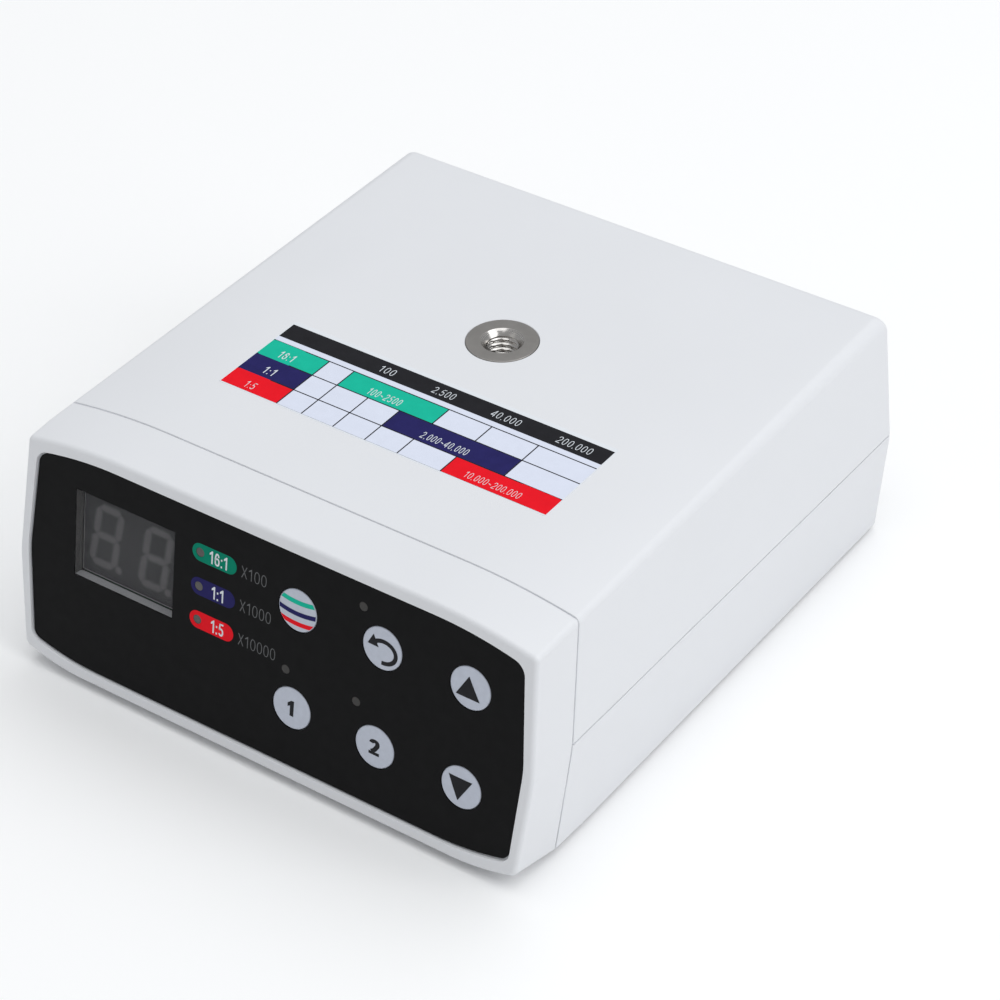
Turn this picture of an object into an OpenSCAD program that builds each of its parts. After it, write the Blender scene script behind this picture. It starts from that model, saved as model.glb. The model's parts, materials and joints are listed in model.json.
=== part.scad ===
// Control unit of an electric dental micromotor: a moulded three-piece housing
// with a leaning key panel, a threaded bush on top and the connectors at the back.
// Front faces -Y, +X is to the right as the panel is read, +Z is up.
// The origin is the centre of the footprint, on the surface the unit stands on.

/* [Overall size] */
// Width of the housing at its widest, across the seam at the rear
overall_w = 128; // [120:1:140]
// Depth from the front of the bezel to the tip of the rear connectors
overall_d = 150; // [148:1:156]
// Height from the table to the top face
overall_h = 55; // [54:1:60]

/* [Housing] */
// Depth of the moulded housing itself
body_d = 137; // [135:1:138]
// Stand-off that the rubber feet give
foot_gap = 0.8; // [0.5:0.1:1.5]
// Wall thickness of all three mouldings
wall = 2.4; // [2:0.1:2.6]
// Height of the seam between the two shells
seam_z = 26; // [25:0.5:27]
// Width of the visible joint lines
joint_gap = 0.3; // [0.2:0.05:0.4]
// Lean of the front panel from upright, in degrees
panel_lean = 9.9; // [8:0.1:11]
// Depth of the bezel behind its rim, square to the panel
bezel_t = 12.9; // [12.5:0.1:13.5]

/* [Panel] */
// Depth of the film below the bezel's rim
film_recess = 0.5; // [0.3:0.1:0.6]
// Thickness of the printed film
film_t = 0.4; // [0.3:0.1:0.5]
// Thickness of the bezel's front wall
front_wall_t = 2; // [1.8:0.1:2.2]
// Width of the display window
window_w = 25.5; // [25.2:0.1:26]
// Height of the display window
window_h = 19.8; // [19.4:0.1:20]
// Radius of a key
key_r = 4.6; // [4:0.1:4.8]
// Travel of a key
key_travel = 0.35; // [0.2:0.05:0.4]

/* [Stand thread] */
// Radius of the thread's bore, the crest radius of an M8 thread
thread_r = 3.35; // [3.3:0.05:3.4]
// Length of the threaded bore
thread_l = 11; // [9:0.5:11.5]
// Radius of the bush's flange
bush_flange_r = 7.6; // [7.5:0.1:8]
// How far behind the origin the thread's axis stands
bush_y = 10.4; // [8:0.2:12]

/* [Rear connectors] */
// Outer radius of the air coupling's stub
air_stub_r = 5.6; // [5.4:0.1:6]
// Bore radius of the motor hose socket
socket_bore_r = 6.5; // [6:0.1:6.6]
// Height of the connectors' axes
connector_z = 28; // [27:0.5:30]
// Swing of the power rocker from off to on, in degrees
rocker_swing = 24; // [20:1:24]

/* [Hidden] */
$fn = 48;
far = 400;                                  // size of a cutting block
front_y = -overall_d / 2;
back_y = front_y + body_d;
tip_y = overall_d / 2;
shell_bottom = foot_gap;
bezel_bottom = 2.0;
half_w = overall_w / 2;
seam_x = half_w - 0.8;                      // half-width of the bezel at the seam
side_top_x = seam_x - 2;
corner_front_r = 1.4;
corner_rear_r = 2.6;

// Front outline, right half, from the top middle round to the bottom middle: the top falls
// and the bottom rises by a few millimetres towards both ends
front_half = concat(bow(36, side_top_x, overall_h, -2.8), [[seam_x, seam_z + 0.5]],
    reversed(bow(46, side_top_x + 0.5, bezel_bottom, 2.3)));
// Just behind the bezel: the bottom is already flat
mid_half = [[46, overall_h], [side_top_x, overall_h - 2.6], [seam_x + 0.1, seam_z + 0.5],
    [side_top_x + 0.9, shell_bottom]];
rear_half = [[side_top_x + 0.1, overall_h], [half_w, seam_z], [side_top_x + 1.1, shell_bottom]];

// Panel frame: origin on the rim plane, at the height panel_z
panel_z = 28.4;
rim_chamfer = 0.8;
lip_l = 3;                                  // lip of the bezel that stands inside the shells
lip_t = 1.3;
panel_y = front_y + (panel_z - bezel_bottom - rim_chamfer) * tan(panel_lean);
wall_face = -film_recess - film_t;          // front wall, measured outwards from the rim plane
wall_back = wall_face - front_wall_t;
board_face = -12.5;
board_t = 1.6;
switch_top = -9.0;
plunger_top = -7.5;
plunger_bottom = switch_top - 1.6;
seat_gap = 0.12;                            // clearance of a key in its hole and at its stop

film_half = concat(bow(38.5, 58.6, 23.85, -2.5), [[60.6, -0.5]],
    reversed(bow(43, 59.3, -23.75, 2.35)));
film_gap = 0.35;                            // between the film and the rim of its pocket
window_at = [-36.35, 7];
display_face = -2.8;
display_d = 8;
key_x = [6.9, 27.05, 47.4];
key_s = [11.75, -10.5];
led_at = [[-17.2, 15], [-17.2, 7.35], [-17.2, -0.25], [22.1, 19], [4.9, -2.35], [22, -2.3]];
front_boss_at = [[-54, 17], [-54, -16.5], [-6, 19.5], [-6, -16.5], [54, 0.2]];
led_hole_r = 1.1;

case_post_at = [[-54.6, -37], [54.6, -37], [-54.6, 50], [54.6, 50]];
bezel_tab_x = 30;
bezel_tab_y = -55.5;
bezel_tab_z = 4.55;
bezel_screw_z = 3.1;
board_post_at = [[-44, -33], [44, -33], [-44, 44], [44, 44]];
main_board_z = 8.5;
main_board_top = main_board_z + board_t;
foot_at = [[-48, -44], [48, -44], [-48, 40], [48, 40]];
foot_r = 6;

plate_y = back_y - 3.6;                     // front face of the rear plate
plate_t = 2;
plate_back = plate_y + plate_t;
plate_lip = 1.0;                            // how far the plate's edge stands in its groove
motor_x = -39;
air_x = -13;
air_core_r = 4.3;
jack_x = 14;
rocker_x = 40;
label_size = [81.4, 25.6];
label_at = [0.7, -20.8];
label_t = 0.15;

shell_white = [0.90, 0.91, 0.93];
steel = [0.72, 0.73, 0.75];
nickel = [0.80, 0.80, 0.80];
board_green = [0.08, 0.36, 0.20];
soft_black = [0.06, 0.06, 0.07];
key_grey = [0.66, 0.69, 0.80];

function reversed(list) = [for (i = [len(list) - 1 : -1 : 0]) list[i]];
function mirrored(half) = concat(half, [for (p = reversed(half)) [-p[0], p[1]]]);

// A stretch of outline from x0 to x1 that starts level and bows away by rise
function bow(x0, x1, z, rise, steps = 6) =
    [for (i = [0 : steps]) [x0 + (x1 - x0) * i / steps, z + rise * pow(i / steps, 2)]];
function unit(v) = v / norm(v);
function bezier(p, t) = pow(1 - t, 3) * p[0] + 3 * t * pow(1 - t, 2) * p[1]
    + 3 * t * t * (1 - t) * p[2] + t * t * t * p[3];

// ---------- shared forms ----------

// A closed outline, moved inwards by inset, with rounded corners
module outline(half, r, inset = 0) {
    offset(r = r, $fn = 20) offset(delta = -r - inset) polygon(mirrored(half));
}

// A slab of an upright outline from y to y + t
module slab(y, t) {
    translate([0, y + t, 0]) rotate([90, 0, 0]) linear_extrude(t) children();
}

// The whole outer form of the housing, moved inwards by inset
module body_form(inset = 0) {
    hull() {
        slab(front_y - 1, 19) outline(front_half, corner_front_r, inset);
        slab(front_y + 27, 0.1) outline(mid_half, corner_front_r + 0.3, inset);
        slab(back_y - 0.9, 0.1) outline(rear_half, corner_rear_r, inset);
        slab(back_y - 0.1, 0.1) outline(rear_half, corner_rear_r, inset + 0.8);
    }
}

// The inside of the housing: as body_form, but open to the rear
module body_room(inset) {
    hull() {
        slab(front_y - 1, 19) outline(front_half, corner_front_r, inset);
        slab(front_y + 27, 0.1) outline(mid_half, corner_front_r, inset);
        slab(back_y + 1, 0.1) outline(rear_half, corner_front_r, inset);
    }
}

// Places its children in the panel's frame: x right, y up the panel, z out of it
module on_panel() {
    translate([0, panel_y, panel_z]) rotate([90 - panel_lean, 0, 0]) children();
}

// Block between two planes parallel to the panel
module panel_layer(low, high) {
    on_panel() translate([-far / 2, -far / 2, low]) cube([far, far, high - low]);
}

module above(z) { translate([-far / 2, -far / 2, z]) cube([far, far, far]); }
module below(z) { translate([-far / 2, -far / 2, z - far]) cube([far, far, far]); }

// Cylinder along +Y from y to y + l
module rod_y(x, y, z, r, l) {
    translate([x, y, z]) rotate([-90, 0, 0]) cylinder(h = l, r = r);
}

module hex_y(x, y, z, flats, l) {
    translate([x, y, z]) rotate([-90, 0, 0]) cylinder(h = l, r = flats / sqrt(3), $fn = 6);
}

// Round tube swept along a list of points that never runs along X
module tube(path, r, sides = 8) {
    n = len(path);
    dir = [for (i = [0 : n - 1]) unit(path[min(i + 1, n - 1)] - path[max(i - 1, 0)])];
    side = [for (d = dir) unit(cross(d, [1, 0, 0]))];
    up = [for (i = [0 : n - 1]) cross(side[i], dir[i])];
    points = [for (i = [0 : n - 1]) for (k = [0 : sides - 1])
        path[i] + r * (cos(360 * k / sides) * side[i] + sin(360 * k / sides) * up[i])];
    rings = [for (i = [0 : n - 2]) for (k = [0 : sides - 1])
        [i * sides + k, i * sides + (k + 1) % sides,
         (i + 1) * sides + (k + 1) % sides, (i + 1) * sides + k]];
    polyhedron(points, concat([[for (k = [sides - 1 : -1 : 0]) k]], rings,
        [[for (k = [0 : sides - 1]) (n - 1) * sides + k]]), convexity = 4);
}

module curved_tube(p, r, steps = 10) {
    tube([for (i = [0 : steps]) bezier(p, i / steps)], r);
}

// Pan-head screw along -Z: the head stands on z = 0
module pan_screw(shank_r, shank_l, head_r, head_h) {
    difference() {
        union() {
            cylinder(h = head_h, r = head_r, $fn = 32);
            translate([0, 0, -shank_l]) cylinder(h = shank_l, r = shank_r, $fn = 32);
        }
        for (a = [0, 90])
            rotate(a) translate([-head_r * 0.6, -head_r * 0.12, head_h - 0.7])
                cube([head_r * 1.2, head_r * 0.24, 1]);
    }
}

// ---------- housing ----------

module behind_bezel() { panel_layer(-far, -bezel_t - joint_gap); }

module plate_groove() {
    slab(plate_y - 0.1, plate_t + 0.2) outline(rear_half, 1, wall - plate_lip);
}

module case_post_upper(p) {
    translate([p[0], p[1], seam_z + 0.2]) cylinder(h = overall_h - wall - seam_z, r = 3.2);
}

module upper_shell() color(shell_white) {
    difference() {
        union() {
            difference() {
                intersection() {
                    body_form();
                    above(seam_z + joint_gap / 2);
                    behind_bezel();
                }
                body_room(wall);
                intersection() {
                    body_room(wall / 2);
                    below(seam_z + 2.4);
                }
                plate_groove();
            }
            translate([0, bush_y, overall_h - 5.5]) cylinder(h = 5, r = 11.5);
            intersection() {
                for (p = case_post_at) case_post_upper(p);
                body_form(wall / 2);
            }
        }
        translate([0, bush_y, overall_h - 8]) cylinder(h = 10, r = 6.05);
        translate([0, bush_y, overall_h - 1.3]) cylinder(h = 2, r = bush_flange_r + 0.05, $fn = 96);
        for (p = case_post_at)
            translate([p[0], p[1], seam_z]) cylinder(h = 14, r = 1.3);
        translate([label_at[0] - label_size[0] / 2 - 0.2, label_at[1] - label_size[1] / 2 - 0.2,
            overall_h - label_t]) cube([label_size[0] + 0.4, label_size[1] + 0.4, 1]);
    }
}

module lower_shell() color(shell_white) {
    difference() {
        union() {
            difference() {
                intersection() {
                    body_form();
                    below(seam_z - joint_gap / 2);
                    behind_bezel();
                }
                body_room(wall);
                plate_groove();
            }
            difference() {
                intersection() {
                    body_form(wall / 2 + 0.2);
                    above(seam_z - 3);
                    below(seam_z + 2);
                    behind_bezel();
                    slab(front_y + 24, plate_y - front_y - 24.5) square([far, far], center = true);
                }
                body_room(wall);
            }
            for (p = case_post_at)
                translate([p[0], p[1], shell_bottom + 1]) cylinder(h = seam_z - shell_bottom - 1, r = 3.2);
            for (p = board_post_at)
                translate([p[0], p[1], shell_bottom + 1])
                    cylinder(h = main_board_z - shell_bottom - 1, r = 3.2);
        }
        for (p = case_post_at) translate([p[0], p[1], 0]) {
            cylinder(h = seam_z + 1, r = 1.6);
            cylinder(h = 14, r = 2.8);
        }
        for (p = board_post_at)
            translate([p[0], p[1], main_board_z - 5]) cylinder(h = 6, r = 1.05);
        for (x = [-bezel_tab_x, bezel_tab_x]) translate([x, bezel_tab_y, 0]) {
            cylinder(h = 6, r = 1.6);
            cylinder(h = bezel_screw_z, r = 2.8);
        }
        for (p = foot_at) translate([p[0], p[1], 0]) cylinder(h = shell_bottom + 1, r = foot_r + 0.1);
    }
}

module front_bezel() color(shell_white) {
    difference() {
        union() {
            difference() {
                union() {
                    hull() {
                        intersection() { body_form(); panel_layer(-bezel_t, -rim_chamfer); }
                        intersection() { body_form(rim_chamfer); panel_layer(-1, 0); }
                    }
                    intersection() { body_form(wall + 0.12); panel_layer(-bezel_t - lip_l, -bezel_t + 1); }
                }
                intersection() { body_room(wall); panel_layer(-bezel_t + 2, wall_back); }
                intersection() { body_room(wall + lip_t); panel_layer(-far, wall_back); }
            }
            for (p = front_boss_at)
                on_panel() translate([p[0], p[1], board_face])
                    cylinder(h = wall_back - board_face + 0.5, r = 2.6);
            for (x = [-bezel_tab_x, bezel_tab_x])
                translate([x - 6, bezel_tab_y - 5, bezel_tab_z]) cube([12, 9, 2.6]);
        }
        on_panel() {
            translate([0, 0, -film_recess - film_t])
                linear_extrude(2) outline(film_half, 1.8, -film_gap);
            translate([window_at[0] - window_w / 2, window_at[1] - window_h / 2, wall_back - 1])
                cube([window_w, window_h, 4]);
            for (x = key_x, s = key_s)
                translate([x, s, wall_back - 1]) cylinder(h = 4, r = key_r + seat_gap);
            for (p = led_at) translate([p[0], p[1], wall_back - 1]) cylinder(h = 4, r = led_hole_r);
            for (p = front_boss_at) translate([p[0], p[1], board_face - 1]) cylinder(h = 8, r = 1.05);
        }
        for (x = [-bezel_tab_x, bezel_tab_x])
            translate([x, bezel_tab_y, 0]) cylinder(h = 10, r = 1.05);
    }
}

module rear_plate() color([0.82, 0.83, 0.85]) {
    difference() {
        slab(plate_y, plate_t) outline(rear_half, 1, wall - plate_lip + 0.15);
        rod_y(motor_x, plate_y - 1, connector_z, 8.1, 4);
        rod_y(air_x, plate_y - 1, connector_z, air_stub_r + 0.6, 4);
        rod_y(jack_x, plate_y - 1, connector_z, 4.1, 4);
        translate([rocker_x - 6.6, plate_y - 1, connector_z - 9.6]) cube([13.2, 4, 19.2]);
    }
}

module top_label() color([0.86, 0.88, 0.95]) {
    translate([label_at[0] - label_size[0] / 2, label_at[1] - label_size[1] / 2, overall_h - label_t])
        cube([label_size[0], label_size[1], label_t]);
}

module rubber_feet() color([0.25, 0.25, 0.26]) {
    for (p = foot_at) translate([p[0], p[1], 0]) cylinder(h = shell_bottom + 1, r = foot_r);
}

module case_screws() color(steel) {
    for (p = case_post_at)
        translate([p[0], p[1], 14]) rotate([180, 0, 0]) pan_screw(1.25, 22, 2.6, 1.8);
    for (x = [-bezel_tab_x, bezel_tab_x])
        translate([x, bezel_tab_y, bezel_screw_z]) rotate([180, 0, 0]) pan_screw(1.0, 5, 2.6, 1.1);
}

// ---------- stand thread ----------

module thread_bush() color(steel) {
    translate([0, bush_y, overall_h]) rotate_extrude($fn = 96)
        polygon([[thread_r + 1.2, 0], [bush_flange_r, 0], [bush_flange_r, -1.2], [6, -1.2],
            [6, -14], [0, -14], [0, -1.3 - thread_l], [thread_r, -1.3 - thread_l], [thread_r, -1.3]]);
}

module thread_bush_nut() color(steel) {
    translate([0, bush_y, overall_h - 5.6 - 4.5]) difference() {
        cylinder(h = 4.5, r = 19 / sqrt(3), $fn = 6);
        translate([0, 0, -1]) cylinder(h = 7, r = 6.03);
    }
}

// ---------- front panel ----------

module panel_film() color([0.05, 0.05, 0.06]) {
    on_panel() translate([0, 0, wall_face]) difference() {
        linear_extrude(film_t) outline(film_half, 1.7);
        translate([window_at[0] - window_w / 2, window_at[1] - window_h / 2, -1])
            cube([window_w, window_h, 3]);
        for (x = key_x, s = key_s) translate([x, s, -1]) cylinder(h = 3, r = key_r + seat_gap);
    }
}

module display_window() color([0.45, 0.46, 0.48]) {
    on_panel() translate([window_at[0] - window_w / 2 + 0.05, window_at[1] - window_h / 2 + 0.05,
        wall_face - 0.6]) cube([window_w - 0.1, window_h - 0.1, film_t + 0.6]);
}

// A key: disc, captive flange behind the wall, and stem down to its switch plunger
module key(x, s) color(key_grey) {
    on_panel() translate([x, s, 0]) rotate_extrude()
        polygon([[0, -0.2], [key_r - 0.5, -0.25], [key_r, -0.45], [key_r, wall_back - seat_gap],
            [key_r + 0.9, wall_back - seat_gap], [key_r + 0.9, wall_back - 1],
            [1.7, wall_back - 1.6], [1.7, plunger_top], [0, plunger_top]]);
}

module plunger(x, s) color([0.15, 0.15, 0.16]) {
    on_panel() translate([x, s, plunger_bottom]) cylinder(h = plunger_top - plunger_bottom, r = 1.6);
}

module key_ratio() { key(key_x[0], key_s[0]); }
module key_direction() { key(key_x[1], key_s[0]); }
module key_up() { key(key_x[2], key_s[0]); }
module key_memory_1() { key(key_x[0], key_s[1]); }
module key_memory_2() { key(key_x[1], key_s[1]); }
module key_down() { key(key_x[2], key_s[1]); }
module plunger_ratio() { plunger(key_x[0], key_s[0]); }
module plunger_direction() { plunger(key_x[1], key_s[0]); }
module plunger_up() { plunger(key_x[2], key_s[0]); }
module plunger_memory_1() { plunger(key_x[0], key_s[1]); }
module plunger_memory_2() { plunger(key_x[1], key_s[1]); }
module plunger_down() { plunger(key_x[2], key_s[1]); }

module key_switches() color([0.55, 0.56, 0.58]) {
    on_panel() for (x = key_x, s = key_s) translate([x, s, 0]) difference() {
        translate([-3, -3, board_face]) cube([6, 6, switch_top - board_face]);
        translate([0, 0, plunger_bottom - key_travel - 0.05]) cylinder(h = 3, r = 1.68);
    }
}

module display_module() color([0.50, 0.50, 0.50]) {
    on_panel() translate([window_at[0], window_at[1], 0]) {
        translate([-12.5, -9.5, display_face - display_d]) cube([25, 19, display_d]);
        for (i = [0 : 4], s = [-7.62, 7.62])
            translate([(i - 2) * 2.54, s, board_face]) cylinder(h = 3, r = 0.25, $fn = 16);
    }
}

module indicator_leds() color([0.85, 0.86, 0.82]) {
    on_panel() for (p = led_at) translate([p[0], p[1], board_face]) {
        cylinder(h = 1, r = 1.75);
        cylinder(h = 7.6, r = 1.5);
        translate([0, 0, 7.6]) sphere(r = 1.5, $fn = 32);
    }
}

module front_board() color(board_green) {
    on_panel() difference() {
        translate([-56.5, -19, board_face - board_t]) cube([113, 41.5, board_t]);
        for (p = front_boss_at) translate([p[0], p[1], board_face - 3]) cylinder(h = 5, r = 1.3);
    }
}

module front_board_screws() color(steel) {
    on_panel() for (p = front_boss_at)
        translate([p[0], p[1], board_face - board_t]) rotate([180, 0, 0]) pan_screw(1.0, 7.5, 2.2, 1.4);
}

// ---------- electronics ----------

module main_board() color(board_green) {
    difference() {
        translate([-48.5, -38, main_board_z]) cube([97, 87, board_t]);
        for (p = board_post_at) translate([p[0], p[1], main_board_z - 1]) cylinder(h = 4, r = 1.3);
        for (x = [-35, -29]) translate([x, -10, main_board_z - 1]) cylinder(h = 4, r = 0.8);
    }
}

module main_board_screws() color(steel) {
    for (p = board_post_at) translate([p[0], p[1], main_board_top]) pan_screw(1.0, 5.5, 2.2, 1.4);
}

ribbon_w = 15;
ribbon_x = 10;
module ribbon_headers() color([0.08, 0.08, 0.09]) {
    on_panel() translate([ribbon_x - 9, -8, board_face - board_t - 6]) cube([18, 8, 6]);
    translate([ribbon_x - 9, -36, main_board_top]) cube([18, 8, 6]);
}

// Flat cable from the front board, back and down to the main board
module ribbon_cable() color([0.62, 0.63, 0.65]) {
    a = [panel_y + 4 * -sin(panel_lean) + 20.2 * cos(panel_lean), panel_z - 4 - 20.2 * sin(panel_lean)];
    b = [-32, main_board_top + 6.1];
    p = [a, a + [14, 0], b + [0, 12], b];
    steps = 12;
    mid = [for (i = [0 : steps]) bezier(p, i / steps)];
    dir = [for (i = [0 : steps]) unit(mid[min(i + 1, steps)] - mid[max(i - 1, 0)])];
    top = [for (i = [0 : steps]) mid[i] + 0.35 * [-dir[i][1], dir[i][0]]];
    low = [for (i = [steps : -1 : 0]) mid[i] - 0.35 * [-dir[i][1], dir[i][0]]];
    translate([ribbon_x - ribbon_w / 2, 0, 0]) rotate([90, 0, 90])
        linear_extrude(ribbon_w) polygon(concat(top, low));
}

module control_chips() color(soft_black) {
    translate([12, -6, main_board_top]) cube([12, 12, 1.4]);
    translate([-8, -18, main_board_top]) cube([8, 5, 1.5]);
    translate([30, -20, main_board_top]) cube([6, 5, 1.5]);
    on_panel() translate([-26, -14, board_face - board_t - 1.6]) cube([13, 8, 1.6]);
}

module power_transistors() color(soft_black) {
    for (i = [0 : 5]) translate([-42, -13 + i * 7.4, main_board_top + 2]) cube([4.4, 6, 14]);
}

module heat_sink() color([0.62, 0.63, 0.65]) {
    difference() {
        translate([-37.5, -15, main_board_top]) cube([11, 46, 20]);
        for (i = [0 : 2]) translate([-34.5 + i * 3, -16, main_board_top + 3]) cube([1.6, 48, 18]);
    }
}

module heat_sink_screws() color(steel) {
    for (x = [-35, -29]) translate([x, -10, main_board_z]) rotate([180, 0, 0]) pan_screw(0.7, 1.6, 1.5, 1);
}

module smoothing_capacitors() color([0.10, 0.13, 0.22]) {
    for (x = [22, 36]) translate([x, 34, main_board_top]) cylinder(h = 18, r = 6.2);
}

module filter_choke() color([0.72, 0.42, 0.18]) {
    translate([6, 30, main_board_top + 0.2]) rotate_extrude() translate([5.5, 3]) circle(r = 2.9, $fn = 24);
}

module pressure_sensor() color([0.12, 0.12, 0.13]) {
    translate([-18, 16, main_board_top]) cube([12, 10, 6]);
    translate([-12, 21, main_board_top + 6]) cylinder(h = 6, r = 1.5);
}

module wire_headers() color([0.90, 0.88, 0.80]) {
    translate([28, 10, main_board_top]) cube([10, 6, 7]);
    translate([-46, 34.5, main_board_top]) cube([14, 6, 7]);
}

// ---------- rear connectors ----------

module air_coupling() color(nickel) {
    difference() {
        union() {
            rod_y(air_x, plate_y - 9, connector_z, air_stub_r + 0.5, plate_t + 9);
            hex_y(air_x, plate_back, connector_z, 15, 4);
            rod_y(air_x, plate_back + 4, connector_z, air_stub_r, tip_y - plate_back - 4);
        }
        rod_y(air_x, plate_y - 10, connector_z, air_core_r + 0.02, 40);
    }
}

// Core with the four standard ports: drive air, exhaust, chip air and water
module air_coupling_core() color([0.78, 0.70, 0.45]) {
    difference() {
        rod_y(air_x, plate_y - 9, connector_z, air_core_r, tip_y - plate_y + 8.6);
        for (h = [[-2.2, 0, 1.3], [2.2, 0, 1.1], [0, 2.6, 0.8], [0, -2.6, 0.8]])
            rod_y(air_x + h[0], plate_y - 10, connector_z + h[1], h[2], 40);
    }
}

module air_coupling_nut() color(nickel) {
    difference() {
        hex_y(air_x, plate_y - 3.5, connector_z, 16, 3.5);
        rod_y(air_x, plate_y - 5, connector_z, air_stub_r + 0.53, 8);
    }
}

module air_manifold() color([0.20, 0.21, 0.23]) {
    translate([air_x - 9, plate_y - 19, connector_z - 8]) cube([18, 10, 16]);
}

module sensor_tube() color([0.80, 0.85, 0.90]) {
    curved_tube([[air_x, plate_y - 19.1, connector_z - 3], [air_x, plate_y - 34, connector_z - 3],
        [-12, 21, main_board_top + 26], [-12, 21, main_board_top + 12.1]], 2, 14);
}

module motor_socket() color(nickel) {
    difference() {
        union() {
            rod_y(motor_x, plate_y - 8, connector_z, 8, plate_t + 8);
            rod_y(motor_x, plate_back, connector_z, 11, 2.2);
            rod_y(motor_x, plate_back + 2.2, connector_z, 8.6, 7.8);
        }
        rod_y(motor_x, plate_y - 7, connector_z, socket_bore_r, 20);
        rod_y(motor_x, plate_y - 9, connector_z, 5.4, 20);
    }
}

module motor_socket_nut() color(nickel) {
    difference() {
        hex_y(motor_x, plate_y - 4, connector_z, 20, 4);
        rod_y(motor_x, plate_y - 6, connector_z, 8.03, 8);
    }
}

// Places its children at the motor contacts with the given numbers
module at_contact(numbers) {
    for (i = numbers)
        translate([motor_x + 3.6 * cos(90 + 72 * i), plate_y, connector_z + 3.6 * sin(90 + 72 * i)]) children();
}

module motor_socket_insert() color([0.16, 0.16, 0.17]) {
    difference() {
        rod_y(motor_x, plate_y - 7, connector_z, socket_bore_r - 0.05, 6);
        at_contact([0 : 4]) rod_y(0, -8, 0, 0.72, 8);
    }
}

module motor_contacts() color([0.85, 0.70, 0.30]) {
    at_contact([0 : 4]) rod_y(0, -11, 0, 0.7, 13.4);
}

// One lead for each winding of the motor, from the socket down to the main board
module motor_leads() color([0.55, 0.12, 0.12]) {
    for (i = [-1 : 1]) {
        start = [motor_x - 3.6 * cos(90 + 72 * i), plate_y - 11.05, connector_z + 3.6 * sin(90 + 72 * i)];
        curved_tube([start, start + [0, -12, 0],
            [motor_x + 4 * i, 37.5, main_board_top + 16], [motor_x + 4 * i, 37.5, main_board_top + 7.1]], 0.8, 12);
    }
}

module power_jack() color(soft_black) {
    difference() {
        union() {
            rod_y(jack_x, plate_y - 10, connector_z, 4, plate_t + 10);
            rod_y(jack_x, plate_back, connector_z, 5.6, 2);
        }
        rod_y(jack_x, plate_back + 2 - 9.5, connector_z, 2.85, 12);
    }
}

module power_jack_nut() color(nickel) {
    difference() {
        hex_y(jack_x, plate_y - 2.5, connector_z, 11, 2.5);
        rod_y(jack_x, plate_y - 4, connector_z, 4.03, 6);
    }
}

module power_jack_pin() color(nickel) {
    rod_y(jack_x, plate_back + 2 - 9.5, connector_z, 1.05, 8);
}

module power_leads() color([0.70, 0.10, 0.10]) {
    curved_tube([[jack_x, plate_y - 10.2, connector_z], [jack_x, plate_y - 26, connector_z + 4],
        [31, 13, main_board_top + 26], [31, 13, main_board_top + 7.1]], 0.9, 12);
    curved_tube([[rocker_x, plate_y - 17.4, connector_z + 4], [rocker_x, plate_y - 30, connector_z + 4],
        [35, 13, main_board_top + 22], [35, 13, main_board_top + 7.1]], 0.9, 12);
}

// ---------- power rocker ----------

rocker_pivot_y = plate_back + 0.4;
rocker_room = [10.6, 16.4];
module rocker_frame() color(soft_black) {
    translate([rocker_x, 0, connector_z]) difference() {
        union() {
            translate([-7.6, plate_back, -10.6]) cube([15.2, 1.6, 21.2]);
            translate([-6.5, plate_y - 12, -9.5]) cube([13, 14.1, 19]);
        }
        translate([-rocker_room[0] / 2, rocker_pivot_y - 4.6, -rocker_room[1] / 2])
            cube([rocker_room[0], 20, rocker_room[1]]);
        translate([0, rocker_pivot_y, 0]) rotate([0, 90, 0]) cylinder(h = 12.4, r = 1.05, center = true);
    }
}

// The lever rests in its off position, tilted by half its swing
module power_rocker() color([0.10, 0.10, 0.11]) {
    translate([rocker_x, rocker_pivot_y, connector_z]) rotate([-rocker_swing / 2, 0, 0]) {
        rotate([90, 0, 90]) translate([0, 0, -5.1]) linear_extrude(10.2)
            polygon([[1.3, -7.5], [2.9, 0], [1.3, 7.5], [-1.4, 7.4], [-2.2, 0], [-1.4, -7.4]]);
        rotate([0, 90, 0]) cylinder(h = 12.2, r = 1, center = true);
    }
}

module rocker_terminals() color(nickel) {
    for (z = [-4, 4]) translate([rocker_x - 2.4, plate_y - 17, connector_z + z - 0.4]) cube([4.8, 5, 0.8]);
}

upper_shell();
lower_shell();
front_bezel();
rear_plate();
panel_film();
display_window();
key_ratio();
key_direction();
key_up();
key_memory_1();
key_memory_2();
key_down();
plunger_ratio();
plunger_direction();
plunger_up();
plunger_memory_1();
plunger_memory_2();
plunger_down();
key_switches();
display_module();
indicator_leds();
front_board();
front_board_screws();
ribbon_cable();
ribbon_headers();
main_board();
main_board_screws();
control_chips();
power_transistors();
heat_sink();
heat_sink_screws();
smoothing_capacitors();
filter_choke();
pressure_sensor();
wire_headers();
thread_bush();
thread_bush_nut();
top_label();
rubber_feet();
case_screws();
air_coupling();
air_coupling_core();
air_coupling_nut();
air_manifold();
sensor_tube();
motor_socket();
motor_socket_nut();
motor_socket_insert();
motor_contacts();
motor_leads();
power_jack();
power_jack_nut();
power_jack_pin();
power_leads();
rocker_frame();
power_rocker();
rocker_terminals();
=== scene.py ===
"""Looks of a tabletop control unit of a dental micromotor, built round its CAD frame.

Lengths are in millimetres until put() turns them into metres. Row frame: +X to the right as the
panel is read, the front faces -Y, +Z up. Panel frame: x right, s up the panel, n out of it.
"""

import json
import math

import bmesh
import bpy
from mathutils import Matrix, Vector

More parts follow.
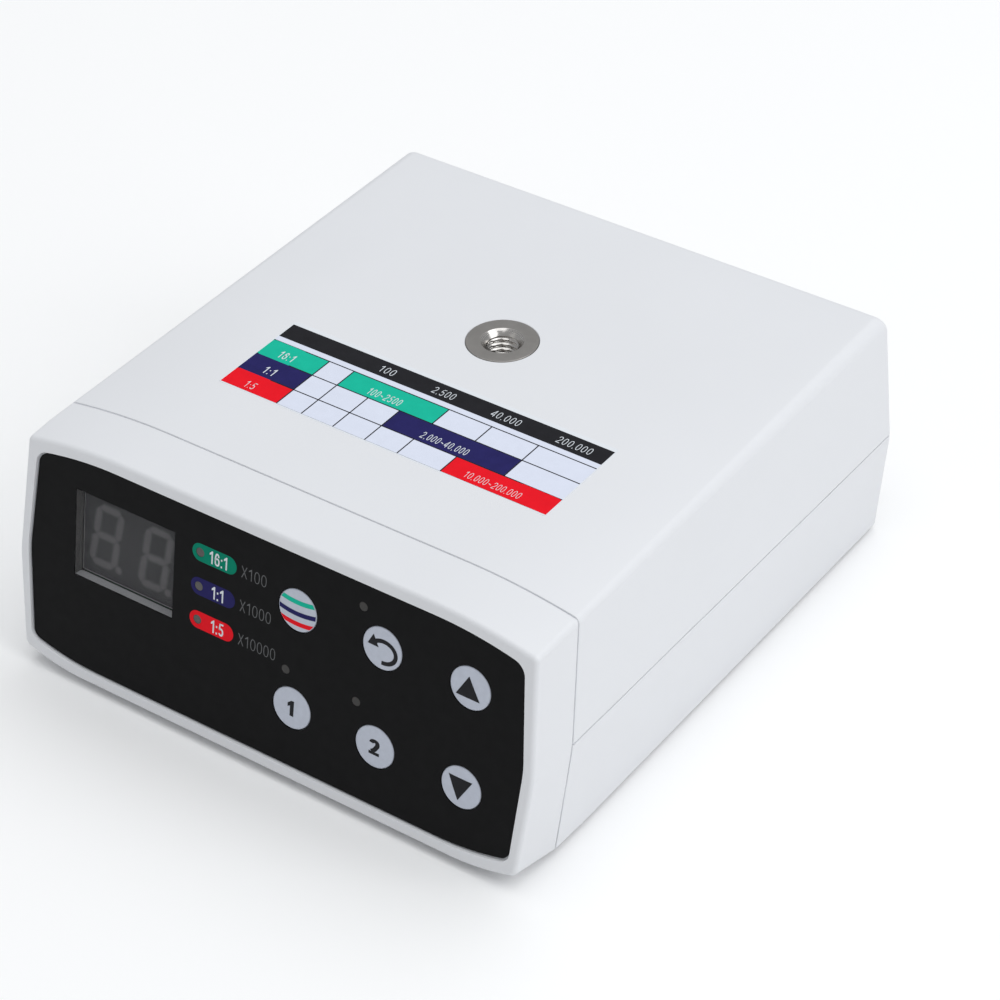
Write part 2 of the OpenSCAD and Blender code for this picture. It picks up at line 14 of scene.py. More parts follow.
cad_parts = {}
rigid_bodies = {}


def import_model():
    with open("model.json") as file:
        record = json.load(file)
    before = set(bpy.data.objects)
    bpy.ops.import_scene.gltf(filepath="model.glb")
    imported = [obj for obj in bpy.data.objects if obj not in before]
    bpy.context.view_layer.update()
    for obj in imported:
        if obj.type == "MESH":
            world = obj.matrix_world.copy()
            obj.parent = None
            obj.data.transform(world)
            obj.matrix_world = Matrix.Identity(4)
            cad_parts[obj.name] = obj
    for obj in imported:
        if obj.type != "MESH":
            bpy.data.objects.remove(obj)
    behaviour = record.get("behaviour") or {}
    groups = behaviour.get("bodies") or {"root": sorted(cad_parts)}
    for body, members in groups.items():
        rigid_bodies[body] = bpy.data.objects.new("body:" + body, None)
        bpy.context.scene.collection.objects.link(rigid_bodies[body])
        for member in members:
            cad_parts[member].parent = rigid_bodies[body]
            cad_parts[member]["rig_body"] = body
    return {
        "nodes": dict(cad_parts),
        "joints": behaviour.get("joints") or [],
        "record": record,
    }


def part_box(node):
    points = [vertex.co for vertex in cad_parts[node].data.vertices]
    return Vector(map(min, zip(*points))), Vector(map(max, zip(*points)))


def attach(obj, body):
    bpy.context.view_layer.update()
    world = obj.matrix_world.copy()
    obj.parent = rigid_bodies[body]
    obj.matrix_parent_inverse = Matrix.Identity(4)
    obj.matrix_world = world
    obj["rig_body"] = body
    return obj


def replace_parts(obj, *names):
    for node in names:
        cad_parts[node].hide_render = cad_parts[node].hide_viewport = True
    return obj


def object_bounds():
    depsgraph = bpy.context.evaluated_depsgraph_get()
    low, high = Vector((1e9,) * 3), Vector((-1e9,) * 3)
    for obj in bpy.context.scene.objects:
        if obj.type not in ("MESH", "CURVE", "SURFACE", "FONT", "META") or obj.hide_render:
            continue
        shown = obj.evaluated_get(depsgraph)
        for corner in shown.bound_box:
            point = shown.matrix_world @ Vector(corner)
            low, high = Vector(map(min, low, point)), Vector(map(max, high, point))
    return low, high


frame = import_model()
cad_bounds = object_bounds()
nodes = frame["nodes"]
record = frame["record"]

MM = 0.001
HOUSING = "housing"

# ---------- frames and places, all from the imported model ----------

presses = [j for j in frame["joints"] if j["name"].startswith("press_")]
NORMAL = -Vector(presses[0]["axis"]).normalized()
RIGHT = Vector((1, 0, 0))
UP = NORMAL.cross(RIGHT)
FILM_RECESS = 0.5
PANEL_Z = 28.4


def node_points(node):
    return [v.co / MM for v in nodes[node].data.vertices]


rim_n = max(p.dot(NORMAL) for p in node_points("panel_film")) + FILM_RECESS
ORIGIN = Vector((0, (rim_n - PANEL_Z * NORMAL.z) / NORMAL.y, PANEL_Z))


def on_panel(x, s, n):
    return ORIGIN + RIGHT * x + UP * s + NORMAL * n


def panel_co(p):
    d = p - ORIGIN
    return Vector((d.x, d.dot(UP), d.dot(NORMAL)))


def panel_box(node):
    """Lowest and highest corner of a CAD node in the panel frame."""
    pts = [panel_co(p) for p in node_points(node)]
    return (Vector([min(p[i] for p in pts) for i in range(3)]),
            Vector([max(p[i] for p in pts) for i in range(3)]))


def middle(node):
    low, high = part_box(node)
    return (low + high) / 2 / MM


def panel_middle(node):
    low, high = panel_box(node)
    return (low + high) / 2


def islands(node):
    """Middle of each loose part of a CAD node, in the panel frame."""
    bm = bmesh.new()
    bm.from_mesh(nodes[node].data)
    bmesh.ops.remove_doubles(bm, verts=bm.verts, dist=1e-6)
    seen, found = set(), []
    for start in bm.verts:
        if start in seen:
            continue
        stack, part = [start], []
        seen.add(start)
        while stack:
            v = stack.pop()
            part.append(panel_co(v.co / MM))
            for e in v.link_edges:
                w = e.other_vert(v)
                if w not in seen:
                    seen.add(w)
                    stack.append(w)
        found.append(Vector([(min(p[i] for p in part) + max(p[i] for p in part)) / 2 for i in range(3)]))
    bm.free()
    return found


BACK_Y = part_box("upper_shell")[1].y / MM
TOP_Z = cad_bounds[1].z / MM
KEYS = {j["child"]: panel_middle(j["child"]) for j in presses}
KEY_R = 4.6
LEDS = sorted(islands("indicator_leds"), key=lambda p: (p.x, -p.y))
PILL_LEDS, DOT_LEDS = LEDS[:3], LEDS[3:]
WINDOW_LOW, WINDOW_HIGH = panel_box("display_window")
BUSH = middle("thread_bush")
MOTOR, AIR = middle("motor_socket"), middle("air_coupling")

# ---------- making meshes ----------


def put(name, verts, faces, body=HOUSING, smooth=True):
    """A piece from points in millimetres, riding on a body."""
    mesh = bpy.data.meshes.new(name)
    mesh.from_pydata([tuple(Vector(v) * MM) for v in verts], [], faces)
    mesh.validate()
    mesh.polygons.foreach_set("use_smooth", [smooth] * len(mesh.polygons))
    obj = bpy.data.objects.new(name, mesh)
    bpy.context.scene.collection.objects.link(obj)
    if body:
        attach(obj, body)
    return obj


def outward(obj):
    """Makes every face look outwards."""
    bm = bmesh.new()
    bm.from_mesh(obj.data)
    bmesh.ops.recalc_face_normals(bm, faces=bm.faces)
    bm.to_mesh(obj.data)
    bm.free()
    return obj


def applied(obj):
    """Turns the modifiers of obj into its mesh."""
    graph = bpy.context.evaluated_depsgraph_get()
    mesh = bpy.data.meshes.new_from_object(obj.evaluated_get(graph))
    obj.modifiers.clear()
    old, obj.data = obj.data, mesh
    bpy.data.meshes.remove(old)
    mesh.name = obj.name
    return obj


def cut(obj, *cutters):
    """Cuts closed meshes out of obj and removes them."""
    for cutter in cutters:
        m = obj.modifiers.new("cut", "BOOLEAN")
        m.operation, m.solver, m.object, m.use_self = "DIFFERENCE", "EXACT", cutter, False
    applied(obj)
    for cutter in cutters:
        bpy.data.objects.remove(cutter)
    return obj


def bevelled(obj, width, segments=2, angle=40):
    """Breaks the edges sharper than angle."""
    m = obj.modifiers.new("bevel", "BEVEL")
    m.width, m.segments, m.limit_method = width * MM, segments, "ANGLE"
    m.angle_limit, m.use_clamp_overlap = math.radians(angle), True
    return applied(obj)


def shaded(obj, angle=32):
    """Smooth shading with sharp edges kept, and normals weighted by face area."""
    mesh = obj.data
    mesh.polygons.foreach_set("use_smooth", [True] * len(mesh.polygons))
    mesh.set_sharp_from_angle(angle=math.radians(angle))
    m = obj.modifiers.new("normals", "WEIGHTED_NORMAL")
    m.keep_sharp, m.weight = True, 60
    return applied(obj)


def rings(loops, caps=(True, True)):
    """Vertices and faces of a skin through loops with the same number of points."""
    n = len(loops[0])
    verts = [p for loop in loops for p in loop]
    faces = []
    for r in range(len(loops) - 1):
        for k in range(n):
            a, b = r * n + k, r * n + (k + 1) % n
            faces.append((a, b, b + n, a + n))
    if caps[0]:
        faces.append(tuple(range(n - 1, -1, -1)))
    if caps[1]:
        faces.append(tuple(range(len(verts) - n, len(verts))))
    return verts, faces


def lathe(profile, place, steps, caps=(True, True)):
    """Rings of a profile of (radius, height) turned round an axis, put in place by place(x, y, h)."""
    loops = [[place(r * math.cos(2 * math.pi * k / steps), r * math.sin(2 * math.pi * k / steps), h)
              for k in range(steps)] for r, h in profile]
    return rings(loops, caps=caps)


def turn(cx, cy, rx, ry, degrees):
    """A point of an ellipse."""
    return cx + rx * math.cos(math.radians(degrees)), cy + ry * math.sin(math.radians(degrees))


def arc(cx, cy, r, a0, a1, steps):
    return [turn(cx, cy, r, r, a0 + (a1 - a0) * i / steps) for i in range(steps + 1)]


def circle(cx, cy, r, steps):
    return arc(cx, cy, r, 0, 360, steps)[:-1]


def box_shape(x0, x1, y0, y1):
    return [(x0, y0), (x1, y0), (x1, y1), (x0, y1)]


def round_box(x0, x1, y0, y1, r):
    corners = ((x1 - r, y1 - r), (x0 + r, y1 - r), (x0 + r, y0 + r), (x1 - r, y0 + r))
    return [p for i, (x, y) in enumerate(corners) for p in arc(x, y, r, 90 * i, 90 * i + 90, 6)]


def sheet_mesh(shapes, thick):
    """Vertices and faces of flat shapes with even-odd holes, from height 0 to thick."""
    curve = bpy.data.curves.new("shape", "CURVE")
    curve.dimensions, curve.fill_mode = "2D", "BOTH"
    curve.extrude = thick / 2
    for shape in shapes:
        spline = curve.splines.new("POLY")
        spline.points.add(len(shape) - 1)
        for p, q in zip(spline.points, shape):
            p.co = (q[0], q[1], 0, 1)
        spline.use_cyclic_u = True
    obj = bpy.data.objects.new("shape", curve)
    bpy.context.scene.collection.objects.link(obj)
    graph = bpy.context.evaluated_depsgraph_get()
    mesh = bpy.data.meshes.new_from_object(obj.evaluated_get(graph))
    bm = bmesh.new()
    bm.from_mesh(mesh)
    bmesh.ops.remove_doubles(bm, verts=bm.verts, dist=1e-5)
    bm.verts.index_update()
    verts = [(v.co.x, v.co.y, v.co.z + thick / 2) for v in bm.verts]
    faces = [tuple(v.index for v in f.verts) for f in bm.faces]
    bm.free()
    bpy.data.objects.remove(obj)
    bpy.data.meshes.remove(mesh)
    return verts, faces


def band(points, width):
    """Outline of a stroke of even width along a path."""
    left, right = [], []
    for k, p in enumerate(points):
        a, b = points[max(k - 1, 0)], points[min(k + 1, len(points) - 1)]
        along = Vector((b[0] - a[0], b[1] - a[1])).normalized() * width / 2
        left.append((p[0] - along.y, p[1] + along.x))
        right.append((p[0] + along.y, p[1] - along.x))
    return left + right[::-1]


SQUARE = 2 / 2.3                 # exponent that makes an oval a little square


def oval(cx, cy, rx, ry, a0=0, a1=360, steps=28):
    """Points of a slightly squared ellipse."""
    out = []
    for i in range(steps + 1):
        a = math.radians(a0 + (a1 - a0) * i / steps)
        c, q = math.cos(a), math.sin(a)
        out.append((cx + rx * math.copysign(abs(c) ** SQUARE, c),
                    cy + ry * math.copysign(abs(q) ** SQUARE, q)))
    return out


def glyph(sign, t):
    """Width and shapes of a numeral one unit high, drawn with strokes t wide; each shape is filled alone."""
    w, r = 0.54, 0.5
    m = w / 2
    if sign == "0":
        return w, [[oval(m, r, m, r)[:-1], oval(m, r, m - t, r - t * 0.85)[:-1]]]
    if sign == "1":
        x = 0.30 - t / 2
        return w * 0.82, [[[(x, 0), (x + t, 0), (x + t, 1), (x + t * 0.3, 1), (0.02, 0.80),
                            (0.02, 0.80 - t), (x, 0.90 - t)]]]
    if sign == "2":
        path = oval(m, 0.70, m - t / 2, 0.30 - t / 2, 172, -28, 18) + [(m + 0.02, 0.34), (t * 0.6, t * 0.9)]
        return w, [[band(path, t)], [box_shape(0, w, 0, t * 0.9)]]
    if sign == "4":
        x, y = w - t * 1.75, 0.22
        edge = [(x, 0), (x + t, 0), (x + t, y), (w, y), (w, y + t * 0.9), (x + t, y + t * 0.9), (x + t, 1),
                (x, 1), (-0.02, y + t), (-0.02, y), (x, y)]
        return w, [[edge, [(x, y + t * 0.9), (x, 0.97 - t * 1.2), (0.15 * (1 - t), y + t * 0.9)]]]
    if sign == "5":
        bowl = oval(m - 0.01, 0.32, m - t / 2, 0.32 - t / 2, 140, -158, 22)
        return w, [[band(bowl, t)], [box_shape(0.09, w - 0.03, 1 - t * 0.9, 1)],
                   [[(0.09, 1), (0.09 + t * 0.9, 1), (0.02 + t, 0.49), (0.02, 0.49)]]]
    if sign == "6":
        hook = oval(m, 0.40, m - t / 2, 0.60 - t / 2, 180, 32, 16)
        return w, [[oval(m, 0.32, m, 0.32)[:-1], oval(m, 0.32, m - t, 0.32 - t * 0.85)[:-1]], [band(hook, t)]]
    if sign == ":":
        return t * 1.1, [[box_shape(0, t, 0, t)], [box_shape(0, t, 0.52, 0.52 + t)]]
    if sign == ",":
        return t * 1.2, [[box_shape(0, t, 0, t)], [[(t * 0.45, 0), (t, 0), (t * 0.5, -t), (t * 0.1, -t)]]]
    if sign == "~":
        wave = [(0.02 + 0.046 * i, 0.42 + 0.055 * math.sin(math.radians(36 * i))) for i in range(11)]
        return 0.5, [[band(wave, t * 0.9)]]
    return w, [[band([(0.02, 0), (w - 0.02, 1)], t)], [band([(0.02, 1), (w - 0.02, 0)], t)]]


def letters(text, x0, x1, y0, y1, t, gap=0.24):
    """Flat condensed numerals with strokes t wide, fitted into a box."""
    meshes, x = [], 0
    for sign in text:
        width, shapes = glyph(sign, t)
        for shape in shapes:
            verts, faces = sheet_mesh(shape, 0)
            meshes.append(([(v[0] + x, v[1], 0) for v in verts], faces))
        x += width + gap
    verts, faces = gather(*meshes)
    k = (x1 - x0) / (x - gap)
    return [(x0 + v[0] * k, y0 + v[1] * (y1 - y0), 0) for v in verts], faces


def gather(*meshes):
    """One list of vertices and faces from several."""
    verts, faces = [], []
    for v, f in meshes:
        faces += [tuple(i + len(verts) for i in face) for face in f]
        verts += list(v)
    return verts, faces


def laid(name, mesh, place, body=HOUSING, smooth=True):
    """A piece from a mesh whose points are put in position by place(x, y, height)."""
    return put(name, [place(*v) for v in mesh[0]], mesh[1], body, smooth)


def printed(name, meshes, place, body=HOUSING):
    """Thin printing from flat meshes."""
    return laid(name, gather(*meshes), place, body, smooth=False)


# ---------- materials ----------


def set_inputs(node, **inputs):
    """Sets inputs of a shader node: an output of another node is linked, anything else is a value."""
    for key, value in inputs.items():
        socket = node.inputs[key.replace("_", " ")]
        if isinstance(value, bpy.types.NodeSocket):
            node.id_data.links.new(value, socket)
        else:
            socket.default_value = value
    return node


def add(tree, kind, **inputs):
    return set_inputs(tree.nodes.new("ShaderNode" + kind), **inputs)


def new_material(name):
    """A material with its tree, its shader and the object's own coordinates."""
    mat = bpy.data.materials.new(name)
    mat.use_nodes = True
    tree = mat.node_tree
    shader = next(n for n in tree.nodes if n.type == "BSDF_PRINCIPLED")
    return mat, tree, shader, add(tree, "TexCoord").outputs["Object"]


def noise(tree, coords, scale, detail, stretch=None):
    """A noise texture; stretch scales the coordinates first."""
    if stretch:
        coords = add(tree, "Mapping", Vector=coords, Scale=stretch).outputs["Vector"]
    return add(tree, "TexNoise", Vector=coords, Scale=scale, Detail=detail).outputs["Fac"]


def ranged(tree, value, low, high):
    """Stretches a noise's middle range over low to high."""
    node = add(tree, "MapRange", Value=value, From_Min=0.3, From_Max=0.7, To_Min=low, To_Max=high)
    return node.outputs["Result"]


def ramped(tree, value, color, darker, lighter):
    """A colour that drifts with a noise from darker to lighter times itself."""
    node = add(tree, "ValToRGB", Fac=value)
    for element, at, k in zip(node.color_ramp.elements, (0.3, 0.7), (darker, lighter)):
        element.position, element.color = at, (*[max(0.0, min(1.0, c * k)) for c in color], 1)
    return node.outputs["Color"]


def bump(tree, height, distance):
    return add(tree, "Bump", Height=height, Distance=distance).outputs["Normal"]


def finish(name, color, rough, spread, patch, metal=0.0, rough_spread=0.04, grain=0.0,
           grain_size=4000, stretch=None, **sockets):
    """The common finish: a colour that drifts by spread, uneven roughness and fine surface grain.

    patch and grain_size are the scales of the drift and of the grain; grain is its height.
    """
    mat, tree, shader, coords = new_material(name)
    drift = noise(tree, coords, patch, 4.0, stretch)
    uneven = noise(tree, coords, patch * 7, 3.0, stretch)
    set_inputs(shader, Base_Color=ramped(tree, drift, color, 1 - spread, 1 + spread), Metallic=metal,
               Roughness=ranged(tree, uneven, rough - rough_spread, rough + rough_spread), **sockets)
    if grain:
        set_inputs(shader, Normal=bump(tree, noise(tree, coords, grain_size, 2.0, stretch), grain * MM))
    return mat


def turned(name, color, rough, axis, place, pitch, depth):
    """Turned metal: fine rings round an axis through place."""
    mat, tree, shader, coords = new_material(name)
    keep = [0 if i == axis else 1 for i in range(3)]
    back = [-place[i] * MM * keep[i] for i in range(3)]
    centred = add(tree, "Mapping", Vector=coords, Location=back, Scale=keep)
    radius = add(tree, "VectorMath", Vector=centred.outputs["Vector"])
    radius.operation = "LENGTH"
    rings_noise = add(tree, "TexNoise", Scale=1 / (pitch * MM), Detail=2)
    rings_noise.noise_dimensions = "1D"
    set_inputs(rings_noise, W=radius.outputs["Value"])
    fine, patches = rings_noise.outputs["Fac"], noise(tree, coords, 300, 4.0)
    set_inputs(shader, Base_Color=ramped(tree, patches, color, 0.93, 1.05), Metallic=1.0,
               Roughness=ranged(tree, fine, rough - 0.07, rough + 0.08), Normal=bump(tree, fine, depth * MM))
    return mat


def dull_ink(name, color, spread):
    """Dull printing ink."""
    return finish(name, color, 0.45, spread, 500, Specular_IOR_Level=0.05)


def give(finish_name, *objs, slot=None):
    """Gives pieces one of the finishes in M. slot, the record's slot they stand for, is not used."""
    for o in objs:
        o.data.materials.clear()
        o.data.materials.append(M[finish_name])


M = {
    "shell": finish("shell_white", (0.745, 0.755, 0.78), 0.42, 0.008, 25, rough_spread=0.03,
                    grain=0.003, grain_size=5200, Specular_IOR_Level=0.45),
    "film": finish("film_black", (0.0068, 0.0068, 0.0072), 0.5, 0.12, 400, grain=0.002,
                   grain_size=6500, Specular_IOR_Level=0.06),
    # Dark grey painted on the white walls of the window's hole: painted shade.
    "painted_shade_wall": finish("window_wall_painted_shade", (0.16, 0.155, 0.15), 0.6, 0.1, 300, grain=0.004),
    "plate": finish("plate_grey", (0.70, 0.71, 0.725), 0.55, 0.015, 40, grain=0.012,
                    grain_size=3200),
    "window": finish("smoked_window", (0.055, 0.055, 0.058), 0.5, 0.3, 900, rough_spread=0.05,
                     grain=0.002, grain_size=5000, Specular_IOR_Level=0.2, Alpha=0.22),
    "display_face": finish("display_face", (0.066, 0.065, 0.071), 0.6, 0.16, 900, grain=0.004),
    "segment_edge": finish("segment_edge", (0.098, 0.096, 0.100), 0.5, 0.12, 900),
    "segment_soft": finish("segment_soft", (0.145, 0.142, 0.147), 0.5, 0.1, 900),
    "segment": finish("display_segment", (0.20, 0.196, 0.203), 0.45, 0.08, 900),
    "display_side": finish("display_side", (0.78, 0.78, 0.78), 0.5, 0.02, 300, grain=0.006),
    "key": finish("key_grey", (0.52, 0.555, 0.64), 0.45, 0.035, 900, grain=0.006,
                  grain_size=2600, Specular_IOR_Level=0.35),
    "ink_white": finish("ink_white", (0.68, 0.72, 0.76), 0.45, 0.05, 1500),
    "ink_grey": finish("ink_grey", (0.085, 0.088, 0.092), 0.5, 0.15, 1500),
    "ink_black": finish("ink_black", (0.012, 0.012, 0.015), 0.45, 0.15, 500,
                        Specular_IOR_Level=0.12),
    "ink_green": dull_ink("ink_green", (0.010, 0.47, 0.32), 0.04),
    "pill_green": dull_ink("pill_green", (0.0, 0.21, 0.13), 0.06),
    "ink_navy": dull_ink("ink_navy", (0.020, 0.018, 0.105), 0.08),
    "ink_red": dull_ink("ink_red", (0.79, 0.008, 0.018), 0.04),
    "cell": finish("label_cell", (0.70, 0.74, 0.86), 0.35, 0.015, 500),
    "label": finish("label_film", (0.77, 0.80, 0.84), 0.22, 0.01, 200, Coat_Weight=0.4,
                    Coat_Roughness=0.12),
    "dot": finish("lamp_dot", (0.014, 0.012, 0.010), 0.4, 0.2, 1200),
    "dot_pill": finish("lamp_dot_pill", (0.068, 0.064, 0.060), 0.4, 0.2, 1200),
    "led": finish("led_lens", (0.82, 0.84, 0.80), 0.2, 0.03, 400, Transmission_Weight=0.55,
                  IOR=1.5),
    "board": finish("board_green", (0.020, 0.16, 0.055), 0.38, 0.18, 700, grain=0.01,
                    grain_size=1800, Coat_Weight=0.3),
    "black": finish("black_plastic", (0.022, 0.022, 0.024), 0.48, 0.12, 120, grain=0.012,
                    grain_size=3000),
    "rocker": finish("rocker_black", (0.018, 0.018, 0.020), 0.28, 0.1, 150, grain=0.004,
                     grain_size=3000),
    "rubber": finish("foot_rubber", (0.045, 0.045, 0.047), 0.82, 0.18, 250, grain=0.02,
                     grain_size=2200, Specular_IOR_Level=0.3),
    "screw": finish("screw_zinc", (0.60, 0.61, 0.62), 0.32, 0.06, 900, metal=1.0,
                    rough_spread=0.1, grain=0.004),
    "nickel": finish("nickel", (0.68, 0.66, 0.62), 0.24, 0.04, 300, metal=1.0,
                     rough_spread=0.08, grain=0.003, grain_size=3500),
    "brass": finish("brass", (0.72, 0.52, 0.22), 0.28, 0.07, 500, metal=1.0, rough_spread=0.1),
    "gold": finish("contact_gold", (0.90, 0.62, 0.20), 0.22, 0.04, 600, metal=1.0),
    "aluminium": finish("aluminium", (0.72, 0.73, 0.75), 0.36, 0.05, 200, metal=1.0,
                        rough_spread=0.09, grain=0.01, grain_size=900, stretch=(12, 0.4, 12)),
    "switch": finish("switch_cover", (0.66, 0.66, 0.65), 0.3, 0.05, 700, metal=1.0),
    "sleeve": finish("capacitor_sleeve", (0.022, 0.032, 0.10), 0.3, 0.1, 150, Coat_Weight=0.4),
    "copper": finish("copper_winding", (0.52, 0.18, 0.05), 0.34, 0.12, 500, metal=0.9,
                     grain=0.2, grain_size=900, stretch=(1, 1, 0.2)),
    "nylon": finish("nylon", (0.76, 0.73, 0.63), 0.5, 0.03, 250, grain=0.008),
    "tube": finish("clear_tube", (0.72, 0.77, 0.82), 0.3, 0.03, 250, Transmission_Weight=0.5),
    "lead": finish("lead_red", (0.42, 0.012, 0.010), 0.42, 0.08, 300, grain=0.008),
    "ribbon": finish("ribbon_grey", (0.36, 0.37, 0.39), 0.48, 0.22, 1600, stretch=(1, 0.05, 0.05),
                     grain=0.15, grain_size=1200),
    "flange": turned("bush_flange", (0.36, 0.345, 0.33), 0.42, 2, BUSH, pitch=0.09, depth=0.003),
    "thread": turned("bush_thread", (0.58, 0.56, 0.54), 0.20, 2, BUSH, pitch=0.12, depth=0.002),
    "socket_metal": turned("socket_nickel", (0.66, 0.64, 0.60), 0.26, 1, MOTOR, pitch=0.10, depth=0.003),
    "coupling_metal": turned("coupling_nickel", (0.66, 0.64, 0.60), 0.26, 1, AIR, pitch=0.10, depth=0.003),
    "floor": finish("floor_white", (0.97, 0.97, 0.97), 0.9, 0.004, 3),
}
SLOT_FINISH = {
    "shell_plastic": "shell", "plate_plastic": "plate", "film": "film", "smoked_window": "window",
    "key_cap": "key", "plunger_plastic": "black", "switch_housing": "switch", "display_body": "display_side",
    "led_lens": "led", "circuit_board": "board", "screw_steel": "screw", "ribbon": "ribbon",
    "black_plastic": "black", "heat_sink": "aluminium", "capacitor_sleeve": "sleeve",
    "copper_winding": "copper", "header_plastic": "nylon", "bush_steel": "thread", "label": "label",
    "foot_rubber": "rubber", "nickel": "nickel", "clear_tube": "tube", "port_brass": "brass",
    "contact_gold": "gold", "lead_sleeve": "lead", "rocker_plastic": "rocker",
}
for part in record["subparts"]:
    slots = nodes[part["node"]].data.materials
    slots.clear()
    slots.append(M[SLOT_FINISH[part["material_slot"]]])
node_slot = {part["node"]: part["material_slot"] for part in record["subparts"]}

# ---------- the housing's outer form ----------

WALL = 2.4
SEAM_Z = 26.0
GAP = 0.15                       # half of a joint line
GROOVE = 0.35                    # depth of a joint line
SKIN = 0.1                       # the label's thickness: the shell's top lies this much lower
BEZEL_T = 12.9
FRONT_STATION, JOINT_STATION, REAR_STATION = -76.0, -60.0, 61.1
SEAM_BAND = [28.4, 28.0, 27.2, 26.4, 26.22, 26.15, 25.85, 25.78, 25.6, 24.8, 23.8]
UPPER_LAST = SEAM_BAND.index(26.15)
BREAK, BREAK_MID = 0.22, 0.07    # how far a broken edge goes in, at its end and half-way
EDGE_BREAK = {26.22: BREAK_MID, 26.15: BREAK, 25.85: BREAK, 25.78: BREAK_MID}
LIP_RISE, TONGUE_RISE = 0.28, 1.85
SIDE_SOFT = 2.0                  # half-height of the soft vertex of the side
TOP_FLAT = 36.0                  # the top is level this far from its middle


def mix(a, b, t):
    return a + (b - a) * t


def slopes(b, c, d):
    """How fast a side falls inwards from its vertex c, up to b and down to d."""
    return (c.x - b.x) / (b.y - c.y), (c.x - d.x) / (c.y - d.y)


def station(y, wall=0.0):
    """Corner points and radii of the cross-section at y, moved inwards by wall."""
    m = min(max((y - FRONT_STATION) / (JOINT_STATION - FRONT_STATION), 0), 1)
    t = min(max((y - JOINT_STATION) / (REAR_STATION - JOINT_STATION), 0), 1)
    top = TOP_Z - SKIN
    bottom = mix(2.0, 0.8, m)
    b = Vector((mix(61.2, 61.7, m) - 0.4 * t, top - mix(3.3, 2.3, m) * (1 - t)))
    c = Vector((mix(63.25, 63.35, m) + 0.65 * t, SEAM_Z))
    d = Vector((mix(61.4, 62.2, m) - 0.4 * t, bottom + mix(2.7, 0.4, m) * (1 - t)))
    up, down = slopes(b, c, d)
    r_top, r_bottom = mix(1.0, 1.2, m) + 1.8 * t, mix(1.2, 1.0, m)
    if wall:
        b = Vector((b.x + wall * (up - 1), b.y - wall))
        d = Vector((d.x + wall * (down - 1), d.y + wall))
        c.x -= wall
        r_top = r_bottom = 0.6
    return {"top": top - wall, "bottom": bottom + wall, "b": b, "c": c, "d": d, "up": up, "down": down,
            "r_top": r_top, "r_bottom": r_bottom}


def side_x(p, z):
    """Half-width of the side at height z, with a soft vertex at the seam."""
    dz = z - p["c"].y
    a, b = p["up"], p["down"]
    if dz > SIDE_SOFT:
        return p["c"].x - a * dz
    if dz < -SIDE_SOFT:
        return p["c"].x + b * dz
    return p["c"].x - ((a + b) * (dz * dz + SIDE_SOFT ** 2) / (4 * SIDE_SOFT) + (a - b) / 2 * dz)


def fillet(p0, v, p2, steps):
    """Points of a near-round fillet from p0 to p2 about the vertex v."""
    a, b = p0.lerp(v, 0.56), p2.lerp(v, 0.56)
    return [p0 * (1 - t) ** 3 + a * (3 * t * (1 - t) ** 2) + b * (3 * t * t * (1 - t)) + p2 * t ** 3
            for t in (i / steps for i in range(steps + 1))]


def bowed(x0, corner, level, reach):
    """From the middle out: level as far as x0, then bowing to the corner, short of it by reach."""
    out = [Vector((x0 * i / 4, level)) for i in range(5)]
    for i in range(1, 10):
        x = mix(x0, corner.x - reach, i / 9)
        out.append(Vector((x, level + (corner.y - level) * ((x - x0) / (corner.x - x0)) ** 2)))
    return out


def half_outline(p, top_flat, bottom_flat, high, band, low):
    """Right half of an outline, from the top middle round to the bottom middle."""
    reach_b, reach_d = p["r_top"] * 0.92, p["r_bottom"] * 0.95
    top, bottom = bowed(top_flat, p["b"], p["top"], reach_b), bowed(bottom_flat, p["d"], p["bottom"], reach_d)
    b2 = Vector((side_x(p, p["b"].y - reach_b), p["b"].y - reach_b))
    d1 = Vector((side_x(p, p["d"].y + reach_d), p["d"].y + reach_d))
    zs = [mix(b2.y, high, i / 3) for i in (1, 2, 3)] + band + [mix(low, d1.y, i / 3) for i in (0, 1, 2)]
    return (top[:-1] + fillet(top[-1], p["b"], b2, 8) + [Vector((side_x(p, z), z)) for z in zs]
            + fillet(d1, p["d"], bottom[-1], 8) + bottom[-2::-1])


def half_section(y, wall=0.0):
    """Right half of the body's cross-section at y, as (x, z)."""
    return half_outline(station(y, wall), TOP_FLAT, 46.0, SEAM_BAND[0] + 0.8, SEAM_BAND, SEAM_BAND[-1] - 0.8)


HALF = len(half_section(0))
BAND_START = next(k for k, p in enumerate(half_section(0)) if abs(p.y - SEAM_BAND[0]) < 1e-4)


def mirrored(half):
    """A closed loop from a right half: on from the bottom middle up the left side."""
    return half + [Vector((-p.x, *p[1:])) for p in half[-2:0:-1]]


def plane_y(z, n):
    """Where the plane at height n over the panel's rim is, at height z."""
    return ORIGIN.y + (n - NORMAL.z * (z - ORIGIN.z)) / NORMAL.y


def ring_at_plane(n, wall):
    """The body's outline in the plane n over the panel's rim, as a closed loop of 3D points."""
    out = []
    for k in range(HALF):
        z = PANEL_Z
        for _ in range(3):
            y = plane_y(z, n)
            p = half_section(y, wall)[k]
            z = p.y
        out.append(Vector((p.x, plane_y(z, n), z)))
    return mirrored(out)


def ring_at_y(y, wall=0.0):
    return mirrored([Vector((p.x, y, p.y)) for p in half_section(y, wall)])


def moved_in(ring, distance, normal):
    """A ring moved inwards in its own plane; distance may be one number or one for each point."""
    n, out = len(ring), []
    for k in range(n):
        along = ring[(k + 1) % n] - ring[k - 1]
        inward = along.cross(normal).normalized()
        d = distance[k] if isinstance(distance, list) else distance
        out.append(ring[k] + inward * d)
    return out


UPRIGHT = Vector((0, -1, 0))


def at_plane(n, inset=0.0, wall=0.0):
    return moved_in(ring_at_plane(n, wall), inset, NORMAL)


def at_y(y, inset=0.0, wall=0.0):
    return moved_in(ring_at_y(y, wall), inset, UPRIGHT)


# ---------- upper and lower shell ----------

